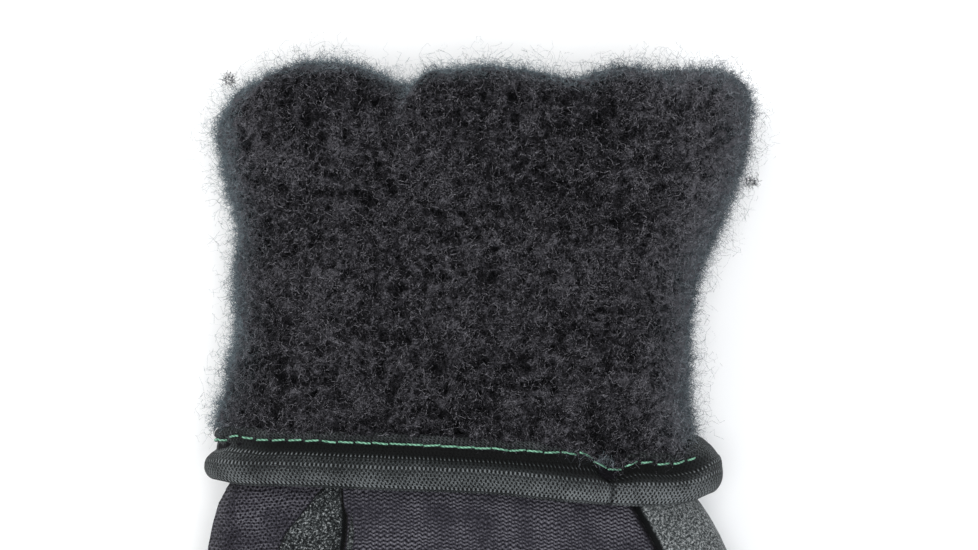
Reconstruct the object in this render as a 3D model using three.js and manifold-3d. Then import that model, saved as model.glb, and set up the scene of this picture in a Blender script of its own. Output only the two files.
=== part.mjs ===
// An insulated work glove for the left hand, lying palm down, with its cuff turned back over the
// hand so that the thick pile lining shows. Millimetres, +Z up. The fingers point to -Y, the folded
// mouth faces +Y and the thumb is on the -X side. The origin is on the surface that the glove lies
// on, under the middle of the turned-back cuff.
import * as THREE from "three";
import { mergeVertices } from "three/addons/utils/BufferGeometryUtils.js";
import Module from "manifold-3d";

// Layers of the folded cuff. Depth is measured outwards from the middle of the fold: the outer leg
// has positive depths and the inner leg, which is the wrist of the glove, has negative ones.
const PILE_OUT = 6.7; // the tips of the pile
const PILE_BACK = 2.2; // the backing of the pile
const SLEEVE_OUT = 1.7; // the knitted sleeve under it
const SLEEVE_IN = 0.4; // half of the gap between the two legs of the sleeve
const TAPE_OUT = 3.0; // the binding's outer side
const TAPE_IN = -0.9; // the binding's inner side, turned under the sleeve's edge

const CLUMP_RISE = 0.8; // how far the clumps of pile stand out
const CLUMP_ROUND = 2; // facets to a clump, round the cuff
const CLUMP_LONG = 1.6; // rows to a clump, along the cuff
const LOBE_RISE = 1.5; // how far the three lobes of the mouth swell
const LOBE_MIDDLE = 38.4; // the fold's mean y, over the lobes and the dips
const HEM_DROP = 3.0; // the pile is this much thinner at the hem
const HEM_TAPER = 0.22; // share of the cuff's length over which it thins

const CUFF_MIDDLE = 18.6; // less than half the height, so that the underside lies flat
const CUFF_POWER = 2.5; // 2 is an ellipse, more is squarer
const CUFF_LEFT = -47;
const CUFF_RIGHT = 48;
const CUFF_SIDES = 38;
const LINING_END = -28.0; // how far down inside the wrist the lining is made
const PILE_STEPS = 10; // rows of the pile's outer surface
const LEG_STEPS = 3; // rows of the backing and of the sleeve, which lie on each other
const TURN_STEPS = 4; // rows round the fold

// The outside of the turned-back pile at its full depth: its sides, seen from above, and half of
// its height. The edge flares into the binding.
const CUFF_OUTLINE = [
  { y: -46, left: -54.0, right: 51.1, half: 21.3 },
  { y: -38, left: -53.9, right: 51.0, half: 21.3 },
  { y: -34, left: -53.4, right: 49.8, half: 20.9 },
  { y: -30, left: -52.2, right: 46.8, half: 20.2 },
  { y: -22, left: -48.0, right: 42.9, half: 19.5 },
  { y: -13, left: -44.8, right: 41.4, half: 19.4 },
  { y: -3, left: -44.4, right: 43.3, half: 19.4 },
  { y: 8, left: -44.7, right: 46.6, half: 19.4 },
  { y: 19, left: -46.4, right: 50.2, half: 19.4 },
  { y: 30, left: -47.6, right: 52.8, half: 19.4 },
  { y: 41, left: -46.8, right: 52.6, half: 19.4 },
];

// Seen from above, the fold at the mouth: three soft lobes with a dip between each two.
const FOLD_LINE = [
  { x: -50, y: 37.0 },
  { x: -40, y: 38.8 },
  { x: -28, y: 40.6 },
  { x: -19, y: 39.2 },
  { x: -11.5, y: 36.4 },
  { x: -5, y: 38.8 },
  { x: 4, y: 39.8 },
  { x: 13, y: 38.4 },
  { x: 20.5, y: 37.0 },
  { x: 29, y: 39.0 },
  { x: 42, y: 39.4 },
  { x: 54, y: 38.0 },
];

// Seen from above, the line of stitches that holds the binding, which drops towards +X.
const HEM_LINE = [
  { x: -50, y: -31.4 },
  { x: -32, y: -31.2 },
  { x: -13, y: -31.9 },
  { x: 6, y: -32.6 },
  { x: 22, y: -34.2 },
  { x: 36, y: -35.0 },
  { x: 43, y: -34.4 },
  { x: 48, y: -32.4 },
];

// The binding is a knitted tape folded round the edge. Its ends meet in a puckered seam.
const BINDING_DROP = 8.6; // from the stitches to the lower edge
const DROP_SHARES = [
  { x: -47, share: 0.86 }, // less at the two sides, where the edge turns under
  { x: -41, share: 0.98 },
  { x: -34, share: 1.0 },
  { x: 34, share: 1.0 },
  { x: 42, share: 0.94 },
  { x: 48, share: 0.74 },
];
const BINDING_FLANGE = 2.2; // from the stitches to the upper edge
const BINDING_UNDER = 0.9; // from the stitches to the edge of the side that is turned under
const TAPE = 1.0; // its thickness
const TAPE_PINCHED = 0.7; // its thickness above the stitches
const STITCH_LIP = 0.6; // the roll is pinched from this far below the stitches
const ROLL_FULL = 3.6; // and full from here on
const HEM_EDGE = BINDING_FLANGE + 0.6; // from the stitches to the edge of the pile
const SLEEVE_EDGE = -6.2; // from the stitches to the sleeve's edge, inside the binding
const PUCKER_X = 26.4;
const PUCKER_WIDE = 1.7;
const PUCKER_DEEP = 1.2;
const PUCKER_HANG = 0.8; // how far the puckered stretch hangs below the rest
const PUCKER_FACETS = [-4.6, -2.1, 0, 2.1, 4.6]; // degrees from its middle

// The hand, a row for each section: its sides, the height of its middle and half of its thickness.
const HAND = [
  { y: -28.6, left: -43.2, right: 37.2, z: 18.6, half: 11.9 },
  { y: -36, left: -44.4, right: 40.2, z: 18.4, half: 12.2 },
  { y: -40, left: -45.1, right: 42.0, z: 18.2, half: 12.5 },
  { y: -43, left: -47.3, right: 43.0, z: 17.9, half: 12.9 },
  { y: -46, left: -48.3, right: 45.1, z: 17.5, half: 13.2 },
  { y: -52, left: -49.3, right: 48.7, z: 16.9, half: 13.5 },
  { y: -60, left: -49.6, right: 52.4, z: 16.2, half: 13.9 },
  { y: -72, left: -48.2, right: 56.2, z: 15.2, half: 14.2 },
  { y: -84, left: -45.4, right: 58.4, z: 14.4, half: 14.2 },
  { y: -97, left: -44.6, right: 59.2, z: 13.6, half: 13.7 },
  { y: -108, left: -46.0, right: 59.0, z: 12.6, half: 12.9 },
  { y: -114, left: -45.8, right: 58.2, z: 11.8, half: 11.2 },
  { y: -118, left: -44.6, right: 56.8, z: 11.2, half: 8.2 },
  { y: -120.5, left: -43.0, right: 55.2, z: 11.0, half: 3.6 },
];
const HAND_POWER = 2.3;
const HAND_DETAIL = [
  { sides: 24, steps: 12 }, // the outer surface
  { sides: 16, steps: 7 }, // the hollow
];

// Each finger runs from its root, inside the hand, to its tip.
const FINGER_ROOT = -104;
const FINGER_SPLAY = 1.15; // the fingers bend apart a little towards their tips
const FINGERS = [
  { name: "index", rootX: -32.6, tipX: -37.4, tipY: -187, wide: 26.6, tall: 21.0 },
  { name: "middle", rootX: -5.9, tipX: -6.8, tipY: -196, wide: 27.0, tall: 21.5 },
  { name: "ring", rootX: 20.7, tipX: 23.6, tipY: -189, wide: 26.4, tall: 21.0 },
  { name: "little", rootX: 45.9, tipX: 52.0, tipY: -171, wide: 24.6, tall: 19.8 },
];

// Shares of a finger's length, width and thickness, and how far it arches off the surface.
const FINGER_SHAPE = [
  { along: 0.0, wide: 0.97, tall: 1.08, lift: 1.6 },
  { along: 0.25, wide: 1.0, tall: 1.0, lift: 3.0 },
  { along: 0.5, wide: 0.98, tall: 0.97, lift: 2.4 },
  { along: 0.75, wide: 0.95, tall: 0.95, lift: 0.6 },
  { along: 1.0, wide: 0.9, tall: 0.92, lift: -0.5 },
];

// The thumb, a row for each section along its middle.
const THUMB = [
  { x: -28, y: -54, z: 15.6, wide: 24, tall: 20 },
  { x: -39, y: -67, z: 14.6, wide: 29, tall: 22.5 },
  { x: -50, y: -80.5, z: 13.2, wide: 29.5, tall: 22.5 },
  { x: -59.5, y: -95, z: 11.8, wide: 28.5, tall: 21.5 },
  { x: -66.5, y: -110, z: 10.6, wide: 27, tall: 21 },
  { x: -71, y: -130, z: 9.6, wide: 24.5, tall: 19.8 },
];
const DIGIT_DETAIL = [
  { sides: 12, steps: 4, tipSteps: 3 }, // the outer surface, with its sections before the tip
  { sides: 8, steps: 3, tipSteps: 2 }, // the hollow
];
const TIP_ROUND = 11; // length of the rounded tip
const TIP_END = 0.22; // the last section's share of the full width

// Seen from above, the seam between the palm and the thumb, round the thumb's base.
const THUMB_BASE = [
  { x: -52.5, y: -46 },
  { x: -46.5, y: -60 },
  { x: -42.5, y: -76 },
  { x: -42.0, y: -92 },
  { x: -45.0, y: -104 },
  { x: -54.0, y: -135 },
];

const WALL = 2.4; // knit or leather with the lining quilted to it
const WRIST_CUT = 4; // the hollow runs out past the wrist by this much
const EDGE_HALF = 0.6; // least half thickness of the hollow, at the finger roots
const SEAM = 0.3; // half of the gap at a seam
const BEYOND = 120; // cutting blocks reach this far, past every side of the glove

// Height of the side seams: what is above it is the back of the glove.
const SIDE_SEAM = [
  { y: -210, z: 8.8 },
  { y: -150, z: 11.2 },
  { y: -110, z: 12.6 },
  { y: -60, z: 16.2 },
  { y: -20, z: 18.6 },
];
const PALM_SEAM_DROP = 5.2; // the finger strips reach this far below the side seam

// Seen from above, the two long edges of the knitted back, from wrist to finger roots.
const BACK_LEFT = [
  { x: -25.2, y: -20 },
  { x: -24.6, y: -41 },
  { x: -23.6, y: -46 },
  { x: -24.2, y: -53 },
  { x: -27.6, y: -66 },
  { x: -33.4, y: -80 },
  { x: -37.6, y: -94 },
  { x: -39.4, y: -106 },
];
const BACK_RIGHT = [
  { x: 24, y: -20 },
  { x: 28.2, y: -38 },
  { x: 31.0, y: -43.6 },
  { x: 33.6, y: -48 },
  { x: 36.2, y: -53 },
  { x: 41.6, y: -66 },
  { x: 46.6, y: -82 },
  { x: 50.6, y: -98 },
  { x: 52.4, y: -108 },
];
const BACK_INSET = 5.4; // from the side of a finger to the edge of the knit
const BACK_TIP_INSET = 11; // the palm leather wraps this far over a fingertip
const BACK_TIP_ROUND = 0.8; // how round the knit's end is, 1 being half a circle
const BACK_SHARES = [0.27, 0.5, 0.72]; // places along a finger, from the fork
const STRIP_END = 15; // a strip between two fingers stops this far from their tips

// Seen from above, the edge of the knitted thumb on the side of the leather wedge.
const THUMB_SLANT = 32; // degrees between that edge and the glove's length
const THUMB_INNER = [
  { x: -26.4, y: -20 },
  { x: -26.2, y: -39.6 },
  { x: -30.2, y: -43.4 },
  { x: -33.8, y: -47.4 },
  { x: -36.0, y: -52 },
  { x: -42.0, y: -66 },
  { x: -51.6, y: -82 },
  { x: -59.2, y: -97 },
  { x: -64.4, y: -112 },
  { x: -66.0, y: -121 },
];
const THUMB_TIP = -100; // below this, the end of the thumb's outline
const THUMB_OUTER = [
  { x: -86, y: -124 },
  { x: -90, y: -90 },
  { x: -64, y: -60 },
  { x: -60, y: -20 },
];

// A smooth curve through the rows of a table: place 0 is the first row, 1 the second and so on.
function rowAt(table, place) {
  const i = Math.max(0, Math.min(table.length - 2, Math.floor(place)));
  const f = place - i;
  const p = [i - 1, i, i + 1, i + 2].map(
    (k) => table[Math.max(0, Math.min(table.length - 1, k))],
  );
  const out = {};
  for (const key of Object.keys(table[i])) {
    const [a, b, c, d] = p.map((row) => row[key]);
    const bend = (2 * a - 5 * b + 4 * c - d) * f * f + (3 * b - a - 3 * c + d) * f * f * f;
    out[key] = b + 0.5 * ((c - a) * f + bend);
  }
  return out;
}

// The row where the named column has this value, for a column that only rises or only falls.
function rowWhere(table, column, value) {
  const rising = table[table.length - 1][column] > table[0][column] ? 1 : -1;
  let i = 0;
  while (i < table.length - 2 && (value - table[i + 1][column]) * rising > 0) i += 1;
  const span = table[i + 1][column] - table[i][column];
  const f = Math.max(0, Math.min(1, (value - table[i][column]) / span));
  return rowAt(table, i + f);
}

const power = (v, n) => Math.sign(v) * Math.abs(v) ** (2 / n);
const mix = (a, b, f) => a + (b - a) * f;
const smooth = (low, high, v) => {
  const f = Math.max(0, Math.min(1, (v - low) / (high - low)));
  return f * f * (3 - 2 * f);
};

// Repeatable scatter from 0 to 1 for a whole-number place, and a smooth noise made from it. The
// first coordinate comes round again after the given number of cells.
function scatter(i, j) {
  const s = Math.sin(i * 127.1 + j * 311.7 + 17.3) * 43758.5453;
  return s - Math.floor(s);
}
function noise(u, v, cells) {
  const i = Math.floor(u);
  const j = Math.floor(v);
  const f = smooth(0, 1, u - i);
  const g = smooth(0, 1, v - j);
  const at = (a, b) => scatter(((a % cells) + cells) % cells, b);
  return mix(mix(at(i, j), at(i + 1, j), f), mix(at(i, j + 1), at(i + 1, j + 1), f), g);
}

// A closed skin from a grid of points. The rows always close on themselves. The columns close too
// when ring is true, and otherwise the first and last rows are capped.
function skin(rows, ring) {
  const sides = rows[0].length;
  const at = rows.flat().flatMap((p) => [p.x, p.y, p.z]);
  const faces = [];
  const count = rows.length;
  for (let j = 0; j < (ring ? count : count - 1); j += 1) {
    for (let i = 0; i < sides; i += 1) {
      const a = j * sides + i;
      const b = j * sides + ((i + 1) % sides);
      const c = ((j + 1) % count) * sides + i;
      const d = ((j + 1) % count) * sides + ((i + 1) % sides);
      faces.push(a, b, d, a, d, c);
    }
  }
  if (!ring) {
    for (const [j, turned] of [[0, false], [count - 1, true]]) {
      const middle = new THREE.Vector3();
      for (const p of rows[j]) middle.addScaledVector(p, 1 / sides);
      const hub = at.length / 3;
      at.push(middle.x, middle.y, middle.z);
      for (let i = 0; i < sides; i += 1) {
        const a = j * sides + i;
        const b = j * sides + ((i + 1) % sides);
        faces.push(...(turned ? [a, b, hub] : [b, a, hub]));
      }
    }
  }
  const geometry = new THREE.BufferGeometry();
  geometry.setAttribute("position", new THREE.Float32BufferAttribute(at, 3));
  geometry.setIndex(facingOut(at, faces));
  return geometry;
}

// The faces turned so that they enclose a positive volume.
function facingOut(at, faces) {
  const corner = (k) => new THREE.Vector3(...at.slice(3 * k, 3 * k + 3));
  let volume = 0;
  for (let k = 0; k < faces.length; k += 3) {
    const [a, b, c] = [corner(faces[k]), corner(faces[k + 1]), corner(faces[k + 2])];
    volume += a.dot(b.cross(c));
  }
  return volume > 0 ? faces : [...faces].reverse();
}

const wasm = await Module();
wasm.setup();

function solidOf(geometry) {
  const bare = geometry.clone();
  bare.deleteAttribute("normal");
  bare.deleteAttribute("uv");
  const merged = mergeVertices(bare, 1e-4);
  return new wasm.Manifold(
    new wasm.Mesh({
      numProp: 3,
      vertProperties: merged.attributes.position.array,
      triVerts: new Uint32Array(merged.index.array),
    }),
  );
}

function geometryOf(solid) {
  const mesh = solid.getMesh();
  const at = [];
  for (let i = 0; i < mesh.numVert; i += 1) {
    at.push(...mesh.vertProperties.subarray(i * mesh.numProp, i * mesh.numProp + 3));
  }
  const geometry = new THREE.BufferGeometry();
  geometry.setAttribute("position", new THREE.Float32BufferAttribute(at, 3));
  geometry.setIndex(new THREE.BufferAttribute(mesh.triVerts, 1));
  return geometry;
}

// A cut can leave loose slivers, so only the largest body is kept.
function largest(solid) {
  return solid.decompose().sort((a, b) => b.volume() - a.volume())[0];
}

const unionOf = (solids) => solids.reduce((a, b) => a.add(b));

// The cuff. An angle of 0 is the +X side and a quarter turn is the top. Each layer has the same
// angles, so that their facets stay parallel, with more of them where the binding is puckered.
const crosswise = (angle) => power(Math.cos(angle), CUFF_POWER);
const nominalX = (angle) => mix(CUFF_LEFT, CUFF_RIGHT, (crosswise(angle) + 1) / 2);

function cuffAngles() {
  const degree = Math.PI / 180;
  const even = [...Array(CUFF_SIDES).keys()].map((i) => (i / CUFF_SIDES) * 2 * Math.PI);
  const across = (2 * (PUCKER_X - CUFF_LEFT)) / (CUFF_RIGHT - CUFF_LEFT) - 1;
  const pucker = Math.acos(across ** (CUFF_POWER / 2));
  const extra = PUCKER_FACETS.map((d) => pucker + d * degree);
  const reach = (PUCKER_FACETS[PUCKER_FACETS.length - 1] + 2) * degree;
  return [...even.filter((a) => Math.abs(a - pucker) > reach), ...extra].sort((a, b) => a - b);
}

function cuffPoint(angle, y, depth, clump = 0) {
  const row = rowWhere(CUFF_OUTLINE, "y", y);
  const middle = (row.left + row.right) / 2;
  const reach = (row.right - row.left) / 2 - PILE_OUT;
  const x = middle + reach * crosswise(angle);
  const lobe = (rowWhere(FOLD_LINE, "x", x).y - LOBE_MIDDLE) / 2;
  const swell = (lobe * LOBE_RISE * smooth(6, 34, y) * Math.max(0, depth)) / PILE_OUT;
  const t = depth + swell + clump;
  const z = CUFF_MIDDLE + (row.half - PILE_OUT + t) * power(Math.sin(angle), CUFF_POWER);
  const floor = (PILE_OUT - depth) * smooth(-34, -24, y);
  return new THREE.Vector3(middle + (reach + t) * crosswise(angle), y, Math.max(z, floor));
}

// A ring round the cuff from a place that is worked out at each angle.
function cuffRing(placeAt) {
  return cuffAngles().map((angle, i) => {
    const x = nominalX(angle);
    const fold = rowWhere(FOLD_LINE, "x", x).y;
    const hem = rowWhere(HEM_LINE, "x", x).y;
    const { share } = rowWhere(DROP_SHARES, "x", x);
    const { y, depth, bump = 0 } = placeAt({ fold, hem, share, i, x, top: Math.sin(angle) > 0 });
    return cuffPoint(angle, y, depth, bump);
  });
}

// The outer leg of a folded layer, from its hem up to the fold.
function outerLeg(depth, steps, shape = () => ({ thin: 0, bump: 0 })) {
  return [...Array(steps + 1).keys()].map((s) =>
    cuffRing(({ fold, hem, i }) => {
      const { thin, bump } = shape(s / steps, i, s);
      return { y: mix(hem + HEM_EDGE, fold - PILE_OUT, s / steps), depth: depth - thin, bump };
    }),
  );
}

// Over the fold, from the outer leg to the inner one.
function foldTurn(depth, bumpAt = () => 0) {
  return [...Array(TURN_STEPS - 1).keys()].map((k) => {
    const turn = ((k + 1) / TURN_STEPS) * Math.PI;
    return cuffRing(({ fold, i }) => ({
      y: fold - PILE_OUT + (depth + bumpAt(i, k)) * Math.sin(turn),
      depth: depth * Math.cos(turn),
    }));
  });
}

// The inner leg, from the fold down into the wrist.
function innerLeg(depth) {
  return [...Array(LEG_STEPS + 1).keys()].map((s) =>
    cuffRing(({ fold }) => ({ y: mix(fold - PILE_OUT, LINING_END, s / LEG_STEPS), depth: -depth })),
  );
}

const clumpAt = (i, s) =>
  CLUMP_RISE * (noise(i / CLUMP_ROUND, s / CLUMP_LONG, CUFF_SIDES / CLUMP_ROUND) - 0.5);

function pileLining() {
  const shape = (f, i, s) => ({ thin: HEM_DROP * (1 - smooth(0, HEM_TAPER, f)), bump: clumpAt(i, s) });
  return skin([
    ...outerLeg(PILE_OUT, PILE_STEPS, shape),
    ...foldTurn(PILE_OUT, (i, k) => clumpAt(i, PILE_STEPS + k + 1)),
    ...innerLeg(PILE_OUT),
    ...[...outerLeg(PILE_BACK, LEG_STEPS), ...foldTurn(PILE_BACK), ...innerLeg(PILE_BACK)].reverse(),
  ], true);
}

// The sleeve also runs on below the pile's edge, down into the binding.
function cuffSleeve() {
  const layer = (depth) => [
    cuffRing(({ hem, share }) => ({ y: hem + SLEEVE_EDGE * share, depth })),
    cuffRing(({ hem }) => ({ y: hem - STITCH_LIP, depth })),
    ...outerLeg(depth, LEG_STEPS),
    ...foldTurn(depth),
    ...innerLeg(depth),
  ];
  return skin([...layer(SLEEVE_OUT), ...layer(SLEEVE_IN).reverse()], true);
}

// The binding's section: depth, height from the stitches, and the drop that the edge's share is
// taken of. It is a tape folded round the sleeve's edge and pinched where it is stitched.
function bindingSection() {
  const middle = (TAPE_OUT + TAPE_IN) / 2;
  const half = (TAPE_OUT - TAPE_IN) / 2;
  const bend = (radius, steps) =>
    [...Array(steps + 1).keys()].map((k) => {
      const turn = (k / steps) * Math.PI;
      const rise = half - radius * Math.sin(turn);
      return { depth: middle - radius * Math.cos(turn), rise, drop: BINDING_DROP };
    });
  const pinched = TAPE_OUT - TAPE + TAPE_PINCHED;
  return [
    { depth: TAPE_IN, rise: BINDING_UNDER },
    ...bend(half, 5),
    { depth: TAPE_OUT, rise: -ROLL_FULL },
    { depth: pinched, rise: -STITCH_LIP },
    { depth: pinched, rise: BINDING_FLANGE },
    { depth: TAPE_OUT - TAPE, rise: BINDING_FLANGE },
    { depth: TAPE_OUT - TAPE, rise: -STITCH_LIP },
    ...bend(half - TAPE, 2).reverse(),
    { depth: TAPE_IN + TAPE, rise: -STITCH_LIP },
    { depth: TAPE_IN + TAPE, rise: BINDING_UNDER },
  ];
}

function edgeBinding() {
  const rows = bindingSection().map((p) =>
    cuffRing(({ hem, share, x, top }) => {
      const pucker = top ? Math.exp(-(((x - PUCKER_X) / PUCKER_WIDE) ** 2)) : 0;
      const dent = PUCKER_DEEP * pucker * Math.max(0, p.depth - SLEEVE_OUT - TAPE_PINCHED);
      const drop = (p.drop ?? 0) * share + PUCKER_HANG * pucker;
      return { y: hem + p.rise - drop, depth: p.depth - dent };
    }),
  );
  return skin(rows, true);
}

// The hand's outer surface, or its hollow when inset is the wall's thickness.
function handSolid(inset) {
  const rows = [];
  const { sides, steps } = HAND_DETAIL[inset ? 1 : 0];
  for (let s = 0; s <= steps; s += 1) {
    const row = rowAt(HAND, (s / steps) * (HAND.length - 1));
    const ring = [];
    const reach = (row.right - row.left) / 2 - inset;
    const half = Math.max(EDGE_HALF, row.half - inset);
    const push = inset && s === 0 ? WRIST_CUT : 0;
    const pull = (inset * s) / steps;
    for (let i = 0; i < sides; i += 1) {
      const angle = (i / sides) * 2 * Math.PI;
      const x = (row.left + row.right) / 2 + reach * power(Math.cos(angle), HAND_POWER);
      const z = row.z + half * power(Math.sin(angle), HAND_POWER);
      ring.push(new THREE.Vector3(x, row.y + push + pull, Math.max(z, inset)));
    }
    rows.push(ring);
  }
  return solidOf(skin(rows, false));
}

// A finger or thumb: sections along a curve, then a rounded tip.
function digitSolid(table, inset) {
  const path = new THREE.CatmullRomCurve3(table.map((r) => new THREE.Vector3(r.x, r.y, 0)));
  const length = path.getLength();
  const { sides, steps, tipSteps } = DIGIT_DETAIL[inset ? 1 : 0];
  const rows = [];
  const addRing = (distance, shrink) => {
    const share = Math.min(1, distance / length);
    const along = path.getUtoTmapping(share);
    const row = rowAt(table, along * (table.length - 1));
    const middle = path.getPoint(along);
    const ahead = path.getTangent(along);
    const reach = (row.wide / 2 - inset) * shrink;
    const half = (row.tall / 2 - inset) * shrink;
    const ring = [];
    for (let i = 0; i < sides; i += 1) {
      const angle = (i / sides) * 2 * Math.PI;
      const sideways = reach * power(Math.cos(angle), HAND_POWER);
      const z = row.z + half * power(Math.sin(angle), HAND_POWER);
      ring.push(
        new THREE.Vector3(
          middle.x - ahead.y * sideways,
          middle.y + ahead.x * sideways,
          Math.max(z, inset),
        ),
      );
    }
    rows.push(ring);
  };
  const straight = length - TIP_ROUND;
  for (let s = 0; s <= steps; s += 1) addRing((straight * s) / steps, 1);
  for (let s = 1; s <= tipSteps; s += 1) {
    const turn = ((s / tipSteps) * Math.PI) / 2;
    const shrink = Math.max(TIP_END, Math.cos(turn));
    addRing(straight + (TIP_ROUND - inset) * Math.sin(turn), shrink);
  }
  return solidOf(skin(rows, false));
}

// The rows of a finger's own table, worked out from its root, tip and shape.
function fingerTable(finger) {
  return FINGER_SHAPE.map((s) => ({
    x: mix(finger.rootX, finger.tipX, s.along ** FINGER_SPLAY),
    y: mix(FINGER_ROOT, finger.tipY, s.along),
    z: (finger.tall * s.tall) / 2 + s.lift,
    wide: finger.wide * s.wide,
    tall: finger.tall * s.tall,
  }));
}

// An upright block over an outline seen from above, taller than the glove.
function blockOver(outline) {
  const shape = new THREE.Shape(outline.map((p) => new THREE.Vector2(p.x, p.y)));
  const geometry = new THREE.ExtrudeGeometry(shape, { depth: 2 * BEYOND, bevelEnabled: false });
  geometry.translate(0, 0, -BEYOND);
  return solidOf(geometry);
}

// Everything above the side seam, moved up or down by an offset.
function aboveSeam(offset) {
  const outline = SIDE_SEAM.map((p) => new THREE.Vector2(p.y, p.z + offset));
  const [first, last] = [SIDE_SEAM[0], SIDE_SEAM[SIDE_SEAM.length - 1]];
  outline.push(new THREE.Vector2(last.y, BEYOND), new THREE.Vector2(first.y, BEYOND));
  const shape = new THREE.Shape(outline);
  const geometry = new THREE.ExtrudeGeometry(shape, { depth: 2 * BEYOND, bevelEnabled: false });
  const [x, y, z] = [new THREE.Vector3(1, 0, 0), new THREE.Vector3(0, 1, 0), new THREE.Vector3(0, 0, 1)];
  geometry.applyMatrix4(new THREE.Matrix4().makeBasis(y, z, x));
  geometry.translate(-BEYOND, 0, 0);
  return solidOf(geometry);
}

// Where a finger's middle is, and how wide it is, at a share of its length.
function fingerAt(finger, share) {
  const row = rowWhere(FINGER_SHAPE, "along", share);
  return {
    x: mix(finger.rootX, finger.tipX, share ** FINGER_SPLAY),
    y: mix(FINGER_ROOT, finger.tipY, share),
    half: (finger.wide * row.wide) / 2,
  };
}

// The knitted back's outline: up one side of each finger, round its tip and down the other.
// Shrink moves the edge inwards, and a negative one outwards.
function backOutline(shrink) {
  const outline = BACK_LEFT.map((p) => ({ x: p.x + shrink, y: p.y }));
  for (const finger of FINGERS) {
    const length = FINGER_ROOT - finger.tipY;
    const last = 1 - (BACK_TIP_INSET + shrink) / length;
    const side = (share, sign) => {
      const p = fingerAt(finger, share);
      const fork = share === BACK_SHARES[0] ? shrink : 0;
      return { x: p.x + sign * (p.half - BACK_INSET - shrink), y: p.y + fork };
    };
    for (const share of BACK_SHARES) outline.push(side(share, -1));
    const tip = fingerAt(finger, last);
    const reach = tip.half - BACK_INSET - shrink;
    for (let s = 0; s <= 4; s += 1) {
      const turn = (s / 4) * Math.PI;
      const y = tip.y + reach * BACK_TIP_ROUND * (1 - Math.sin(turn));
      outline.push({ x: tip.x - reach * Math.cos(turn), y });
    }
    for (const share of [...BACK_SHARES].reverse()) outline.push(side(share, 1));
  }
  for (const p of [...BACK_RIGHT].reverse()) outline.push({ x: p.x - shrink, y: p.y });
  return outline;
}

// The knitted thumb's outline.
function thumbOutline(shrink) {
  const turn = (THUMB_SLANT * Math.PI) / 180;
  const across = { x: -shrink * Math.cos(turn), y: shrink * Math.sin(turn) };
  const inner = THUMB_INNER.map((p) => ({ x: p.x + across.x, y: p.y + across.y }));
  const end = inner.pop();
  const outer = THUMB_OUTER.map((p) => ({ x: p.x, y: p.y + (p.y < THUMB_TIP ? shrink : 0) }));
  return [...inner, { x: end.x, y: end.y + shrink }, ...outer];
}

// Seen from above, the seam round the thumb's base.
function thumbBase(shrink) {
  const base = THUMB_BASE.map((p) => ({ x: p.x - shrink, y: p.y }));
  return [...base, { x: -BEYOND, y: base[base.length - 1].y }, { x: -BEYOND, y: base[0].y }];
}

// The hand of the glove as one hollow skin, open at the wrist.
function handSkin() {
  const digits = [...FINGERS.map(fingerTable), THUMB];
  const outside = unionOf([handSolid(0), ...digits.map((t) => digitSolid(t, 0))]);
  const hollow = unionOf([handSolid(WALL), ...digits.map((t) => digitSolid(t, WALL))]);
  return outside.subtract(hollow);
}

// The block between the middles of two fingers, out of which their strip is cut.
function blockBetween(left, right) {
  const leftEnd = 1 - STRIP_END / (FINGER_ROOT - left.tipY);
  const rightEnd = 1 - STRIP_END / (FINGER_ROOT - right.tipY);
  return blockOver([
    fingerAt(left, 0),
    fingerAt(left, leftEnd),
    fingerAt(right, rightEnd),
    fingerAt(right, 0),
  ]);
}

function material(colour, roughness, name) {
  return new THREE.MeshStandardMaterial({ name, color: colour, roughness, metalness: 0 });
}

const PILE_FLEECE = material(0x35343a, 1.0, "pile_fleece");
const STRETCH_KNIT = material(0x3f3e48, 0.9, "stretch_knit");
const SYNTHETIC_LEATHER = material(0x55595a, 0.85, "brushed_synthetic_leather");
const BINDING_TAPE = material(0x383d3f, 0.9, "knitted_binding_tape");

const glove = new THREE.Group();

function addPiece(name, geometry, finish) {
  const mesh = new THREE.Mesh(geometry, finish);
  mesh.name = name;
  glove.add(mesh);
}

function buildHand() {
  const whole = handSkin();
  const above = aboveSeam(SEAM);
  const aboveWide = aboveSeam(-SEAM);
  const back = blockOver(backOutline(SEAM)).intersect(above);
  const backWide = blockOver(backOutline(-SEAM)).intersect(aboveWide);
  const thumb = blockOver(thumbOutline(SEAM)).intersect(above);
  const thumbWide = blockOver(thumbOutline(-SEAM)).intersect(aboveWide);
  addPiece("back_panel", geometryOf(largest(whole.intersect(back))), STRETCH_KNIT);
  addPiece("thumb_back", geometryOf(largest(whole.intersect(thumb))), STRETCH_KNIT);
  let rest = whole.subtract(backWide).subtract(thumbWide);
  const stripTop = aboveSeam(-PALM_SEAM_DROP + SEAM);
  const stripCut = aboveSeam(-PALM_SEAM_DROP - SEAM);
  for (let i = 0; i < FINGERS.length - 1; i += 1) {
    const [left, right] = [FINGERS[i], FINGERS[i + 1]];
    const block = blockBetween(left, right);
    const strip = largest(rest.intersect(block).intersect(stripTop));
    addPiece(`finger_strip_${left.name}_${right.name}`, geometryOf(strip), SYNTHETIC_LEATHER);
    rest = rest.subtract(block.intersect(stripCut));
  }
  const front = largest(rest.intersect(blockOver(thumbBase(SEAM))));
  addPiece("thumb_front", geometryOf(front), SYNTHETIC_LEATHER);
  rest = rest.subtract(blockOver(thumbBase(-SEAM)));
  addPiece("palm_panel", geometryOf(largest(rest)), SYNTHETIC_LEATHER);
}

addPiece("pile_lining", pileLining(), PILE_FLEECE);
addPiece("cuff_sleeve", cuffSleeve(), STRETCH_KNIT);
addPiece("edge_binding", edgeBinding(), BINDING_TAPE);
buildHand();

export default glove;
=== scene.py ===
# The looks of an insulated work glove that lies palm down, its cuff turned back over the hand.
# Sizes are in millimetres until a mesh is made. +Z is up, the fingers point to -Y and the
# folded mouth faces +Y.
import math

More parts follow.
